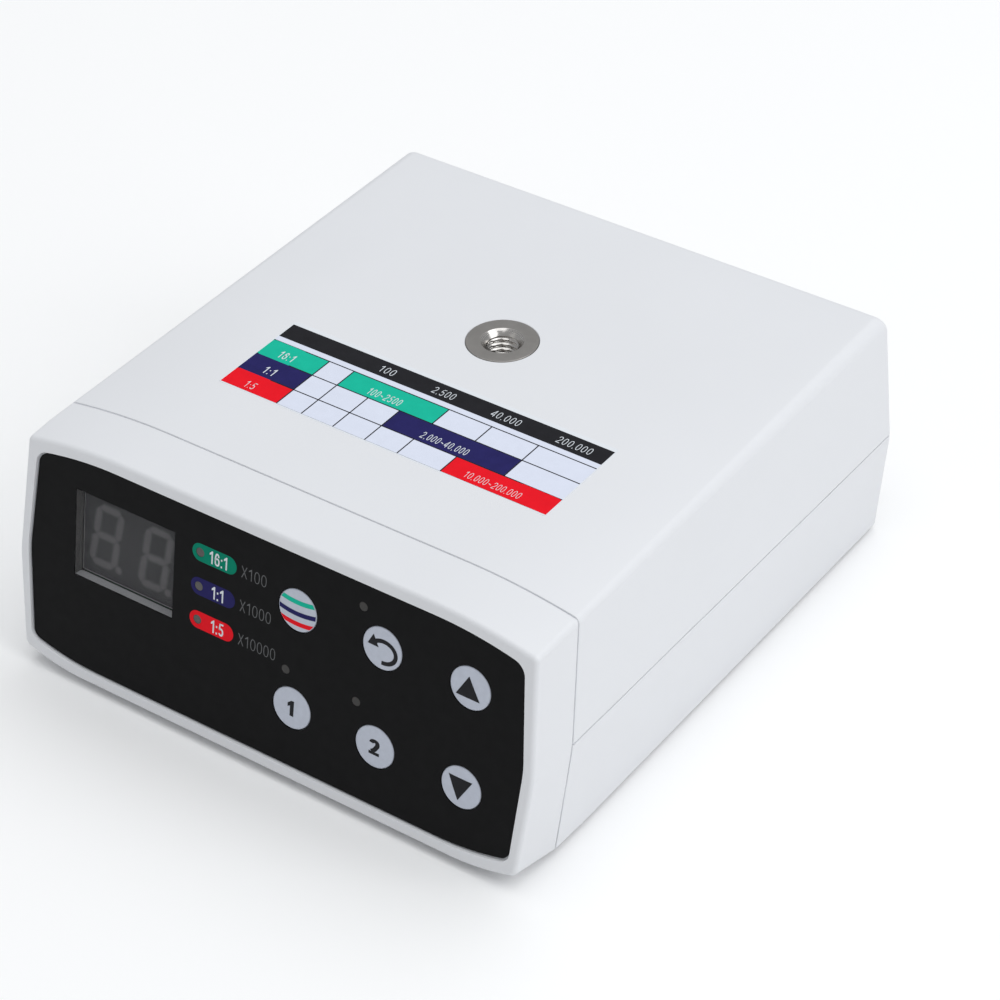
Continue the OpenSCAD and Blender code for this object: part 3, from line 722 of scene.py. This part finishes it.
REAR_R, TOP_REAR_R = 0.9, 2.25
REBATE_END = BACK_Y - 3          # tongue and rebate stop here, short of the rear edge
SEAM_N = -BEZEL_T - 2 * GAP
START_N = SEAM_N - BREAK


def shell_rows():
    """Outer and inner rings of both shells, front to rear."""
    outer = [at_plane(SEAM_N, BREAK), at_plane(SEAM_N - BREAK_MID, BREAK_MID)]
    first, last = at_plane(START_N), at_y(REBATE_END)
    outer += [on_the_way(i / 12, first, last) for i in range(12)]
    outer += [last, at_y(REBATE_END + 0.2)]
    outer += [rear_ring(math.radians(15 * i)) for i in range(7)]
    outer.append(at_y(BACK_Y, 0, WALL - 0.1))
    inner = [at_y(y, 0, WALL) for y in (BACK_Y - 0.25, REBATE_END + 0.2, REBATE_END)]
    inner_first = at_plane(SEAM_N - 0.05, 0, WALL)
    inner += [[a.lerp(b, i / 6) for a, b in zip(inner[-1], inner_first)] for i in range(1, 7)]
    return outer, inner


def rear_ring(a):
    """The outline at angle a of the rear edge's rounding, which is largest along the top."""
    ring = ring_at_y(BACK_Y)
    n = len(ring)
    radii = []
    for k in range(n):
        along = (ring[(k + 1) % n] - ring[k - 1]).normalized()
        radii.append(REAR_R + (TOP_REAR_R - REAR_R) * max(0, abs(along.x)) * (ring[k].z > SEAM_Z))
    out = moved_in(ring, [r * (1 - math.cos(a)) for r in radii], UPRIGHT)
    for p, r in zip(out, radii):
        p.y = BACK_Y - r * (1 - math.sin(a))
    return out


def on_the_way(t, first, last):
    """A ring between the tilted first one and the upright last one, on the body's own surface."""
    out = []
    for k in range(HALF):
        y = mix(first[k].y, last[k].y, t)
        p = half_section(y)[k]
        out.append(Vector((p.x, y, p.y)))
    return mirrored(out)


def shell(name, upper):
    """A shell as columns that each run out along the outside and back along the inside."""
    outer, inner = shell_rows()
    total = len(outer[0])
    last_upper = BAND_START + UPPER_LAST
    if upper:
        order = [(-k) % total for k in range(last_upper, 0, -1)] + list(range(last_upper + 1))
    else:
        order = list(range(last_upper + 1, total - last_upper))
    break_in = {BAND_START + i: EDGE_BREAK.get(z, 0) for i, z in enumerate(SEAM_BAND)}
    columns = []
    for c in order:
        k, side = min(c, total - c), -1 if c > total / 2 else 1
        column = []
        for row, ring in enumerate(outer + inner):
            p = ring[c].copy()
            if row < len(outer):
                p.x -= side * break_in.get(k, 0)
            elif upper and k > BAND_START and p.y < REBATE_END + 0.1:
                p.x += side * WALL / 2
            column.append(p)
        columns.append(column)
    if not upper:
        deep = WALL / 2 + 0.2
        steps = [(GROOVE, 0), (GROOVE, LIP_RISE), (deep, LIP_RISE), (deep, TONGUE_RISE)]
        edge = [[raised(column, depth, rise, len(outer)) for depth, rise in steps]
                for column in (columns[0], columns[-1])]
        columns = edge[0][::-1] + columns + edge[1]
    return outward(put(name, *rings(columns)))


def raised(column, depth, rise, outer_rows):
    """A column of the lower shell's lip or tongue, behind the outside of the upper shell's edge."""
    out, innermost = [], abs(column[outer_rows].x)
    for i, p in enumerate(column):
        x = max(abs(p.x) - depth, innermost) if i < outer_rows else abs(p.x)
        up = rise if p.y < REBATE_END + 0.1 else min(rise, LIP_RISE)
        out.append(Vector((math.copysign(x, p.x), p.y, p.z + up)))
    return out


upper = shell("upper_shell_skin", True)
lower = shell("lower_shell_skin", False)


def rod(place, profile, steps=64):
    """A closed cutter or solid turned from a profile, not riding on anything yet."""
    return outward(put("rod", *lathe(profile, place, steps), body=None))


def upright(x, y):
    return lambda a, b, h: Vector((x + a, y + b, h))


def square_to_panel(x, s):
    return lambda a, b, h: on_panel(x + a, s + b, h)


FLANGE_R = 7.6
SHELL_TOP = TOP_Z - SKIN
BUSH_HOLE = [(FLANGE_R + 0.03, TOP_Z - 9), (FLANGE_R + 0.03, SHELL_TOP - 0.3),
             (FLANGE_R + 0.12, SHELL_TOP - 0.08), (FLANGE_R + 0.5, SHELL_TOP + 0.3)]
cut(upper, rod(upright(BUSH.x, BUSH.y), BUSH_HOLE, 96))
FEET = [Vector((sx * 48, y, 0)) for sx in (-1, 1) for y in (-44, 40)]
POSTS = [Vector((sx * 54.6, y, 0)) for sx in (-1, 1) for y in (-37, 50)]
TABS = [Vector((sx * 30, -55.5, 0)) for sx in (-1, 1)]
FOOT_POCKET = [(6.6, -1), (6.12, 1.0), (6.1, 1.8)]          # profiles of (radius, height)
SCREW_WELL = [(3.2, -1), (2.85, 1.05), (2.8, 1.4), (2.8, 8)]
cut(lower, *[rod(upright(f.x, f.y), FOOT_POCKET) for f in FEET],
    *[rod(upright(f.x, f.y), SCREW_WELL) for f in POSTS + TABS])
for skin, node in ((upper, "upper_shell"), (lower, "lower_shell")):
    shaded(skin)
    give("shell", skin, slot="shell_plastic")
    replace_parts(skin, node)

# ---------- front bezel ----------

FILM = {"top": 23.85, "bottom": -23.75, "b": Vector((58.6, 21.35)), "c": Vector((60.6, -0.5)),
        "d": Vector((59.3, -21.4)), "r_top": 2.0, "r_bottom": 1.5}
POCKET_GAP = 0.35
SHELF_N = -0.9                   # floor of the film's pocket
WALL_BACK_N = -2.9
RIM_R = 0.95
LIP_N = SEAM_N + 0.02            # the bezel's lip all but meets the shells and floors the groove
BEZEL_INSIDE = [(-BEZEL_T, GROOVE), (LIP_N, GROOVE), (LIP_N, 2.52), (-15.6, 2.52), (-15.9, 2.8), (-15.9, 3.7),
                (-10.9, 3.7), (-10.4, WALL), (WALL_BACK_N, WALL)]      # (height, wall) round the lip and on
HOLE_SPAN = (-4, 1)              # heights between which a cutter goes through the front wall
WINDOW_GAP, KEY_GAP = 0.05, 0.12
WINDOW_HOLE = box_shape(WINDOW_LOW.x - WINDOW_GAP, WINDOW_HIGH.x + WINDOW_GAP,
                        WINDOW_LOW.y - WINDOW_GAP, WINDOW_HIGH.y + WINDOW_GAP)


def film_half(grow=0.0):
    """Right half of the film's outline in the panel frame, with as many points as a half section."""
    b, c, d = [FILM[k] + Vector((grow, way * grow)) for k, way in (("b", 1), ("c", 0), ("d", -1))]
    up, down = slopes(b, c, d)
    p = {"b": b, "c": c, "d": d, "up": up, "down": down, "bottom": FILM["bottom"] - grow}
    p |= {k: FILM[k] + grow for k in ("top", "r_top", "r_bottom")}
    return half_outline(p, 38.5, 43.0, 2.8, [z - SEAM_Z for z in SEAM_BAND], -2.8)


def film_ring(n, grow):
    return [on_panel(q.x, q.y, n) for q in mirrored(film_half(grow))]


def bezel():
    """The front moulding, as rings from the floor of the film's pocket round the rim to the inside."""
    pocket = ((SHELF_N, 0), (-0.14, 0), (-0.04, 0.04), (0, 0.14))
    loops = [film_ring(n, POCKET_GAP + wider) for n, wider in pocket]
    for i in range(6):
        a = math.radians(90 - 18 * i)
        loops.append(at_plane(-RIM_R + RIM_R * math.sin(a), RIM_R * (1 - math.cos(a))))
    loops += [at_plane(n) for n in (-3, -6, -9, -BEZEL_T + BREAK)]
    loops += [at_plane(-BEZEL_T + BREAK_MID, BREAK_MID), at_plane(-BEZEL_T, BREAK)]
    loops += [at_plane(n, 0, wall) for n, wall in BEZEL_INSIDE]
    obj = outward(put("front_bezel_skin", *rings(loops)))
    low, high = WINDOW_LOW, WINDOW_HIGH
    hole = rings([[on_panel(x, s, n) for x, s in WINDOW_HOLE] for n in HOLE_SPAN])
    cutters = [outward(put("hole", *hole, body=None))]
    for places, r, steps in ((KEYS.values(), KEY_R + KEY_GAP, 64), (LEDS, 1.1, 32)):
        cutters += [rod(square_to_panel(p.x, p.y), [(r, n) for n in HOLE_SPAN], steps) for p in places]
    cut(obj, *cutters)
    shaded(obj)
    give("shell", obj, slot="shell_plastic")
    # The walls of the window's hole become material 1, a dark grey that is painted shade.
    obj.data.materials.append(M["painted_shade_wall"])
    for face in obj.data.polygons:
        c = panel_co(face.center / MM)
        inside = low.x - 0.2 < c.x < high.x + 0.2 and low.y - 0.2 < c.y < high.y + 0.2
        if inside and WALL_BACK_N < c.z < SHELF_N and c.y > low.y + 0.1:
            face.material_index = 1
    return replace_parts(obj, "front_bezel")


bezel()

# ---------- film, window and printing on the panel ----------

FILM_N = -FILM_RECESS
FILM_T = 0.4


def panel_print(height):
    return lambda x, s, h: on_panel(x, s, FILM_N + height + h)


def film():
    shapes = [[(p.x, p.y) for p in mirrored(film_half())], WINDOW_HOLE]
    shapes += [circle(p.x, p.y, KEY_R + KEY_GAP, 72) for p in KEYS.values()]
    shapes += [circle(p.x, p.y, 1.0, 32) for p in LEDS]
    obj = outward(laid("film_sheet", sheet_mesh(shapes, FILM_T), panel_print(-FILM_T)))
    bevelled(obj, 0.05, 1, 60)
    shaded(obj)
    give("film", obj, slot="film")
    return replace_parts(obj, "panel_film")


film()

low, high = WINDOW_LOW, WINDOW_HIGH
verts, faces = rings([[on_panel(x, s, n) for x, s in box_shape(low.x, high.x, low.y, high.y)]
                      for n in (FILM_N - 1.0, FILM_N)])
window = bevelled(outward(put("window_pane", verts, faces, smooth=False)), 0.06, 1)
shaded(window)
give("window", window, slot="smoked_window")
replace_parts(window, "display_window")

PILL_R = 1.975                   # the pills' half height
# Ink, ratio with its ends, and multiplier with its right end.
PILLS = [("pill_green", "16:1", -14.9, -10.35, "\u00d7100", -0.8),
         ("ink_navy", "1:1", -14.0, -10.9, "\u00d71000", 0.7),
         ("ink_red", "1:5", -13.8, -10.6, "\u00d710000", 2.25)]
white, grey = [], []
for led, (color, ratio, x0, x1, factor, x_end) in zip(PILL_LEDS, PILLS):
    s, r = led.y, PILL_R
    outline = arc(led.x + 9.05 - r, s, r, -90, 90, 16) + arc(led.x - 1.95 + r, s, r, 90, 270, 16)
    pill = sheet_mesh([outline, circle(led.x, s, 1.0, 32)], 0)
    give(color, printed("pill_" + color.split("_")[1], [pill], panel_print(0.015)))
    white.append(letters(ratio, x0, x1, s - 1.45, s + 1.4, 0.15, 0.13))
    grey.append(letters(factor, -6.9, x_end, s - 1.4, s + 1.2, 0.08, 0.15))
give("ink_white", printed("pill_numerals", white, panel_print(0.03)))
give("ink_grey", printed("multiplier_numerals", grey, panel_print(0.015)))
DOT_PROFILE = [(0.96, -0.35), (0.99, -0.06), (0.93, -0.015), (0.5, 0.0)]
for name, leds, color in (("pill_lamp_dots", PILL_LEDS, "dot_pill"), ("key_lamp_dots", DOT_LEDS, "dot")):
    meshes = [lathe(DOT_PROFILE, lambda a, b, h, p=p: (p.x + a, p.y + b, h), 32) for p in leds]
    give(color, shaded(outward(laid(name, gather(*meshes), panel_print(0)))), slot="film")

# ---------- display module ----------

DISPLAY_N = -2.8
PIN_PITCH, PIN_ROW = 2.54, 7.62
mid = (WINDOW_LOW + WINDOW_HIGH) / 2


def display_place(x, s, h):
    return on_panel(mid.x + x, mid.y + s, DISPLAY_N + h)


case = rings([[display_place(x, s, h) for x, s in box_shape(-12.5, 12.5, -9.5, 9.5)] for h in (-8, -0.02)])
body = shaded(bevelled(outward(put("display_case", *case)), 0.25, 2))
give("display_side", body, slot="display_body")
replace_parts(body, "display_module")
pins = [lathe([(0.25, -9.7), (0.25, -7.9)], lambda a, b, h, i=i, s=s: ((i - 2) * PIN_PITCH + a, s + b, h), 16)
        for i in range(5) for s in (-PIN_ROW, PIN_ROW)]
give("nickel", outward(laid("display_pins", gather(*pins), display_place)), slot="nickel")
face = sheet_mesh([round_box(-12.2, 12.2, -9.2, 9.2, 0.3)], 0)
give("display_face", printed("display_face_sheet", [face], lambda x, s, h: display_place(x, s, 0.01)),
     slot="display_body")
BAR, SLANT = 1.4, math.tan(math.radians(8))
DIGIT_W, DIGIT_H = 7.0, 14.2


def bar_shape(a, b, grow):
    """A six-sided segment from a to b, wider by grow all round."""
    along = (b - a).normalized()
    half = BAR / 2 + grow
    across = Vector((-along.y, along.x)) * half
    a, b = a - along * grow, b + along * grow
    pts = [a, a + along * half + across, b - along * half + across, b,
           b - along * half - across, a + along * half - across]
    return [(p.x + p.y * SLANT, p.y) for p in pts]


def digit(cx, grow):
    """The seven bars and the point of one digit."""
    w, h, g = (DIGIT_W - BAR) / 2, (DIGIT_H - BAR) / 2, 0.12
    c = [Vector(q) for q in ((-w, h), (w, h), (-w, 0), (w, 0), (-w, -h), (w, -h))]
    out = []
    for i, j in ((0, 1), (2, 3), (4, 5), (0, 2), (2, 4), (1, 3), (3, 5)):
        along = (c[j] - c[i]).normalized() * g
        out.append([(x + cx, y) for x, y in bar_shape(c[i] + along, c[j] - along, grow)])
    out.append(circle(cx + w + 1.35 - h * SLANT, -h, 0.75 + grow, 20))
    return out


LAYERS = (("segment_edge", 0.42, 0.02), ("segment_soft", 0.18, 0.035), ("segment", -0.08, 0.05))
for name, grow, level in LAYERS:
    bars = [sheet_mesh([bar], 0) for cx in (-6.35, 6.35) for bar in digit(cx, grow)]
    give(name, printed("display_" + name, bars, lambda x, s, h: display_place(x, s + 0.2, level)),
         slot="display_body")

# ---------- keys ----------

KEY_TOP, KEY_EDGE = -0.44, FILM_N - 0.06
CROWN_R = KEY_R - 0.3


def crown(r):
    """Height of a key's face over the rim plane, at radius r."""
    return mix(KEY_TOP, KEY_EDGE, min(1, r / CROWN_R) ** 2)


def key_cap(body, p):
    profile = [(1.7, -7.5), (1.7, WALL_BACK_N - 1.6), (KEY_R + 0.9, WALL_BACK_N - 1.0),
               (KEY_R + 0.9, WALL_BACK_N - 0.12), (KEY_R, WALL_BACK_N - 0.12), (KEY_R, KEY_EDGE - 0.25),
               (KEY_R - 0.03, KEY_EDGE - 0.13), (KEY_R - 0.12, KEY_EDGE - 0.04)]
    profile += [(r, crown(r)) for r in (CROWN_R * (1 - i / 12) for i in range(12))] + [(0.05, KEY_TOP)]
    obj = outward(put(body + "_cap", *lathe(profile, square_to_panel(p.x, p.y), 72), body=body))
    shaded(obj, 40)
    give("key", obj, slot="key_cap")
    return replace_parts(obj, body)


def key_print(body, name, meshes, color):
    """Printing on a key, laid on its crown."""
    p = KEYS[body]

    def place(x, s, h):
        return on_panel(p.x + x, p.y + s, crown(math.hypot(x, s)) + 0.02)

    give(color, printed(body + "_" + name, meshes, place, body))


def stripe(height):
    """A band across a round key, bowed like a smile and ending at the key's edge."""
    reach, bow = CROWN_R + 0.08, 20.0
    low, high, steps = [], [], 24
    for level, out in ((height - 0.5, low), (height + 0.5, high)):
        xs = [(-1 + 2 * i / steps) * reach for i in range(steps + 1)]
        pts = [(x, level + (bow - math.sqrt(bow * bow - x * x)) - 0.35) for x in xs]
        out += [(x, y) if math.hypot(x, y) < reach else tuple(Vector((x, y)).normalized() * reach)
                for x, y in pts]
    n = len(low)
    return [(x, y, 0) for x, y in low + high], [(i, i + 1, n + i + 1, n + i) for i in range(n - 1)]


def ladder(steps):
    """Faces of a strip whose points come in pairs."""
    return [(2 * i, 2 * i + 2, 2 * i + 3, 2 * i + 1) for i in range(steps)]


def turned_band(cx, cy, outer, inner, a0, a1, steps):
    """A band between two ellipses from angle a0 to a1."""
    verts = []
    for i in range(steps + 1):
        a = mix(a0, a1, i / steps)
        verts += [(*turn(cx, cy, *outer, a), 0), (*turn(cx, cy, *inner, a), 0)]
    return verts, ladder(steps)


def triangle(*pts, cuts=6):
    """A triangle cut finely enough to lie on a crown."""
    a, b, c = (Vector(p) for p in pts)
    verts, index, faces = [], {}, []
    for i in range(cuts + 1):
        for j in range(cuts + 1 - i):
            index[i, j] = len(verts)
            v = a + (b - a) * (i / cuts) + (c - a) * (j / cuts)
            verts.append((v.x, v.y, 0))
    for i in range(cuts):
        for j in range(cuts - i):
            faces.append((index[i, j], index[i + 1, j], index[i, j + 1]))
            if i + j + 2 <= cuts:
                faces.append((index[i + 1, j], index[i + 1, j + 1], index[i, j + 1]))
    return verts, faces


for body, p in KEYS.items():
    key_cap(body, p)
for height, color in ((2.2, "ink_green"), (-0.3, "ink_navy"), (-2.55, "ink_red")):
    key_print("key_ratio", color + "_stripe", [stripe(height)], color)
back_arrow = [triangle((-3.4, 0.05), (-2.15, 2.5), (-0.75, 0.05)),
              turned_band(0.35, -0.65, (3.35, 2.8), (2.45, 1.9), 142, -95, 36)]
key_print("key_direction", "arrow", back_arrow, "ink_black")
key_print("key_up", "arrow", [triangle((-0.4, 2.5), (-3.1, -2.25), (2.4, -2.25))], "ink_black")
key_print("key_down", "arrow", [triangle((-3.0, 2.05), (2.5, 2.05), (-0.5, -3.1))], "ink_black")
key_print("key_memory_1", "numeral", [letters("1", -1.0, 0.7, -1.75, 1.75, 0.24)], "ink_black")
key_print("key_memory_2", "numeral", [letters("2", -1.25, 1.25, -1.75, 1.75, 0.22)], "ink_black")

# ---------- label on the top ----------

LX0, LX1, LY0, LY1 = -39.2, 40.32, -32.8, -8.77


def label_x(f):
    return mix(LX0, LX1, f)


def label_y(f):
    return mix(LY1, LY0, f)


def on_label(height):
    """Lays printing on the shell's top, a little bowed at the label's ends."""
    def place(x, y, h):
        p = station(y)
        over = max(0, abs(x) - TOP_FLAT) / (p["b"].x - TOP_FLAT)
        return Vector((x, y, SHELL_TOP + (p["b"].y - p["top"]) * over * over + height + h))
    return place


def strip(x0, x1, y0, y1, cuts=8):
    """A rectangle cut across, so that it can bow with the shell's top."""
    xs = [mix(x0, x1, i / cuts) for i in range(cuts + 1)]
    return [(x, y, 0) for x in xs for y in (y0, y1)], ladder(cuts)


def cell(x0, x1, y0, y1):
    """A rectangle of the table between fractions of its width and of its depth from the rear."""
    return strip(label_x(x0), label_x(x1), label_y(y1), label_y(y0))


def label():
    outline = round_box(LX0 - 0.3, LX1 + 0.25, LY0 - 0.4, LY1 + 1.15, 0.6)
    base = outward(laid("label_film", sheet_mesh([outline], 0.05), on_label(0), smooth=False))
    give("label", base, slot="label")
    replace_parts(base, "top_label")
    rows = [0, 0.205, 0.271, 0.513, 0.767, 1.0]
    cols = [0, 0.180, 0.259, 0.358, 0.457, 0.557, 0.688, 0.829, 1.0]
    give("cell", printed("label_cells", [cell(0, 1, rows[1], 1.0)], on_label(0.058)))
    give("ink_black", printed("label_header", [cell(0, 1, 0, rows[1])], on_label(0.062)))
    blocks = {"ink_green": (2, (2, 5)), "ink_navy": (3, (4, 7)), "ink_red": (4, (6, 8))}
    for color, (row, span) in blocks.items():
        cells = [cell(cols[a], cols[b], rows[row], rows[row + 1]) for a, b in ((0, 1), span)]
        give(color, printed("label_" + color, cells, on_label(0.064)))
    w = 0.14                     # half a line's width
    lines = [(label_x(0), label_x(1), label_y(r) - w, label_y(r) + w) for r in rows[2:5]]
    uprights = {2: (1, 2, 5, 6, 7), 3: (1, 2, 3, 4, 7), 4: (1, 2, 3, 4, 5, 6)}
    for row, at in uprights.items():
        lines += [(label_x(cols[k]) - w, label_x(cols[k]) + w, label_y(rows[row + 1]), label_y(rows[row]))
                  for k in at]
    give("ink_black", printed("label_lines", [strip(*line) for line in lines], on_label(0.068)))
    header = [("100", -14.9, -11.2), ("2,500", -1.55, 3.65), ("40,000", 12.85, 19.6), ("200,000", 28.6, 36.6)]
    cell_text = [("16:1", -35.0, -31.25, -20.0, -17.6, 0.13), ("1:1", -34.2, -31.45, -26.0, -23.6, 0.13),
                 ("1:5", -34.25, -31.9, -31.9, -29.7, 0.09), ("100~2500", -12.15, -4.1, -20.1, -17.9, 0.11),
                 ("2,000~40,000", 5.5, 16.6, -26.1, -24.0, 0.11),
                 ("10,000~200,000", 20.1, 33.1, -31.8, -29.8, 0.08)]
    text = [letters(t, a, b, -12.45, -10.3, 0.09) for t, a, b in header] + [letters(*t) for t in cell_text]
    give("ink_white", printed("label_numerals", text, on_label(0.074)))


label()

# ---------- threaded bush ----------

PITCH, CREST_R, ROOT_R, BODY_R = 1.25, 3.35, 4.0, 6.0


def bush():
    place, top = upright(BUSH.x, BUSH.y), TOP_Z
    bottom, start = top - 12.3, top - 1.25
    flange = [(BODY_R, top - 6), (BODY_R, top - 1.2), (FLANGE_R, top - 1.2), (FLANGE_R, top - 0.12),
              (FLANGE_R - 0.04, top - 0.04), (FLANGE_R - 0.12, top), (4.62, top), (4.54, top - 0.02)]
    obj = outward(put("bush_flange_ring", *lathe(flange, place, 96, caps=(False, False))))
    mouth = [(4.54, top - 0.02), (4.45, top - 0.09), (CREST_R + 0.25, start + 0.32), (CREST_R + 0.05, start)]
    skin = put("bush_mouth", *lathe(mouth, place, 96, caps=(False, False)))
    steps, per_turn = 64, 12
    rows = int((start - bottom) / PITCH * per_turn)
    loops = []
    for r in range(rows + 1):
        z = start - (start - bottom) * r / rows
        loop = []
        for k in range(steps):
            a = 2 * math.pi * k / steps
            phase = (z / PITCH - k / steps) % 1
            depth = min(1, max(0, 1.25 - 2.6 * abs(phase - 0.5)))
            radius = CREST_R + (ROOT_R - CREST_R) * depth * min(1, (start - z) / 0.6)
            loop.append(place(radius * math.cos(a), radius * math.sin(a), z))
        loops.append(loop)
    thread = put("bush_thread_turns", *rings(loops, caps=(False, True)))
    tube = [(BODY_R, top - 14), (BODY_R, top - 6)]
    body = outward(put("bush_body", *lathe(tube, place, 96, caps=(True, False))))
    for o in (obj, skin, thread, body):
        shaded(o, 40)
    give("flange", obj, slot="bush_steel")
    give("thread", skin, thread, body, slot="bush_steel")
    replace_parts(obj, "thread_bush")


bush()

# ---------- CAD nodes with broken edges ----------


def refined(node, width, finish_name=None):
    """A copy of a CAD node with its flat faces joined and its edges broken."""
    bm = bmesh.new()
    bm.from_mesh(nodes[node].data)
    bmesh.ops.remove_doubles(bm, verts=bm.verts, dist=2e-6)
    bmesh.ops.dissolve_limit(bm, angle_limit=math.radians(1.0), verts=bm.verts, edges=bm.edges)
    mesh = bpy.data.meshes.new(node + "_piece")
    bm.to_mesh(mesh)
    bm.free()
    obj = bpy.data.objects.new(node + "_piece", mesh)
    bpy.context.scene.collection.objects.link(obj)
    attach(obj, nodes[node]["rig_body"])
    shaded(bevelled(obj, width, angle=35))
    give(finish_name or SLOT_FINISH[node_slot[node]], obj, slot=node_slot[node])
    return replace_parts(obj, node)


for row in (("rear_plate", 0.2), ("motor_socket", 0.25, "socket_metal"), ("motor_socket_insert", 0.12),
            ("air_coupling", 0.25, "coupling_metal"), ("air_coupling_core", 0.12), ("power_jack", 0.25),
            ("rocker_frame", 0.3), ("power_rocker", 0.25), ("rubber_feet", 0.25), ("case_screws", 0.12)):
    refined(*row)

# ---------- floor, light and camera ----------

FLOOR = 3000                     # half its side
floor = put("floor", [(x, y, 0) for x, y in box_shape(-FLOOR, FLOOR, -FLOOR, FLOOR)], [(0, 1, 2, 3)],
            body=None, smooth=False)
give("floor", floor)

world = bpy.data.worlds.new("studio")
bpy.context.scene.world = world
world.use_nodes = True
background = next(n for n in world.node_tree.nodes if n.type == "BACKGROUND")
set_inputs(background, Color=(0.96, 0.98, 1.0, 1), Strength=0.40)


def softbox(name, place, target, size, power, color):
    light = bpy.data.lights.new(name, "AREA")
    light.shape, light.size, light.size_y = "RECTANGLE", size[0], size[1]
    light.energy, light.color = power, color
    obj = bpy.data.objects.new(name, light)
    bpy.context.scene.collection.objects.link(obj)
    obj.location = place
    obj.rotation_mode = "QUATERNION"
    obj.rotation_quaternion = (Vector(target) - Vector(place)).to_track_quat("-Z", "Y")


softbox("top_softbox", (0.2, 0.3, 2.4), (0, 0, 0), (3.2, 3.2), 46.0, (0.98, 0.99, 1.0))
softbox("right_softbox", (1.15, 0.1, 0.85), (0, 0, 0.02), (1.0, 0.9), 5.4, (0.98, 0.99, 1.0))
softbox("front_fill", (-0.7, -1.1, 0.7), (0, 0, 0.02), (0.8, 0.8), 0.4, (1.0, 0.97, 0.93))

EYE, AIM = Vector((0.31316, -0.42792, 0.42584)), Vector((0.01027, -0.00573, 0.02843))
ROLL = math.radians(-1.03)
camera = bpy.data.cameras.new("camera")
camera.lens, camera.sensor_width = 114.72, 36.0
camera.clip_start, camera.clip_end = 0.02, 20
eye = bpy.data.objects.new("camera", camera)
bpy.context.scene.collection.objects.link(eye)
back = (EYE - AIM).normalized()
right = Vector((0, 0, 1)).cross(back).normalized()
up = back.cross(right)
x_axis = right * math.cos(ROLL) + up * math.sin(ROLL)
y_axis = up * math.cos(ROLL) - right * math.sin(ROLL)
eye.matrix_world = Matrix([(x_axis[i], y_axis[i], back[i], EYE[i]) for i in range(3)] + [(0, 0, 0, 1)])
bpy.context.scene.camera = eye
bpy.context.scene.view_settings.view_transform = "Standard"
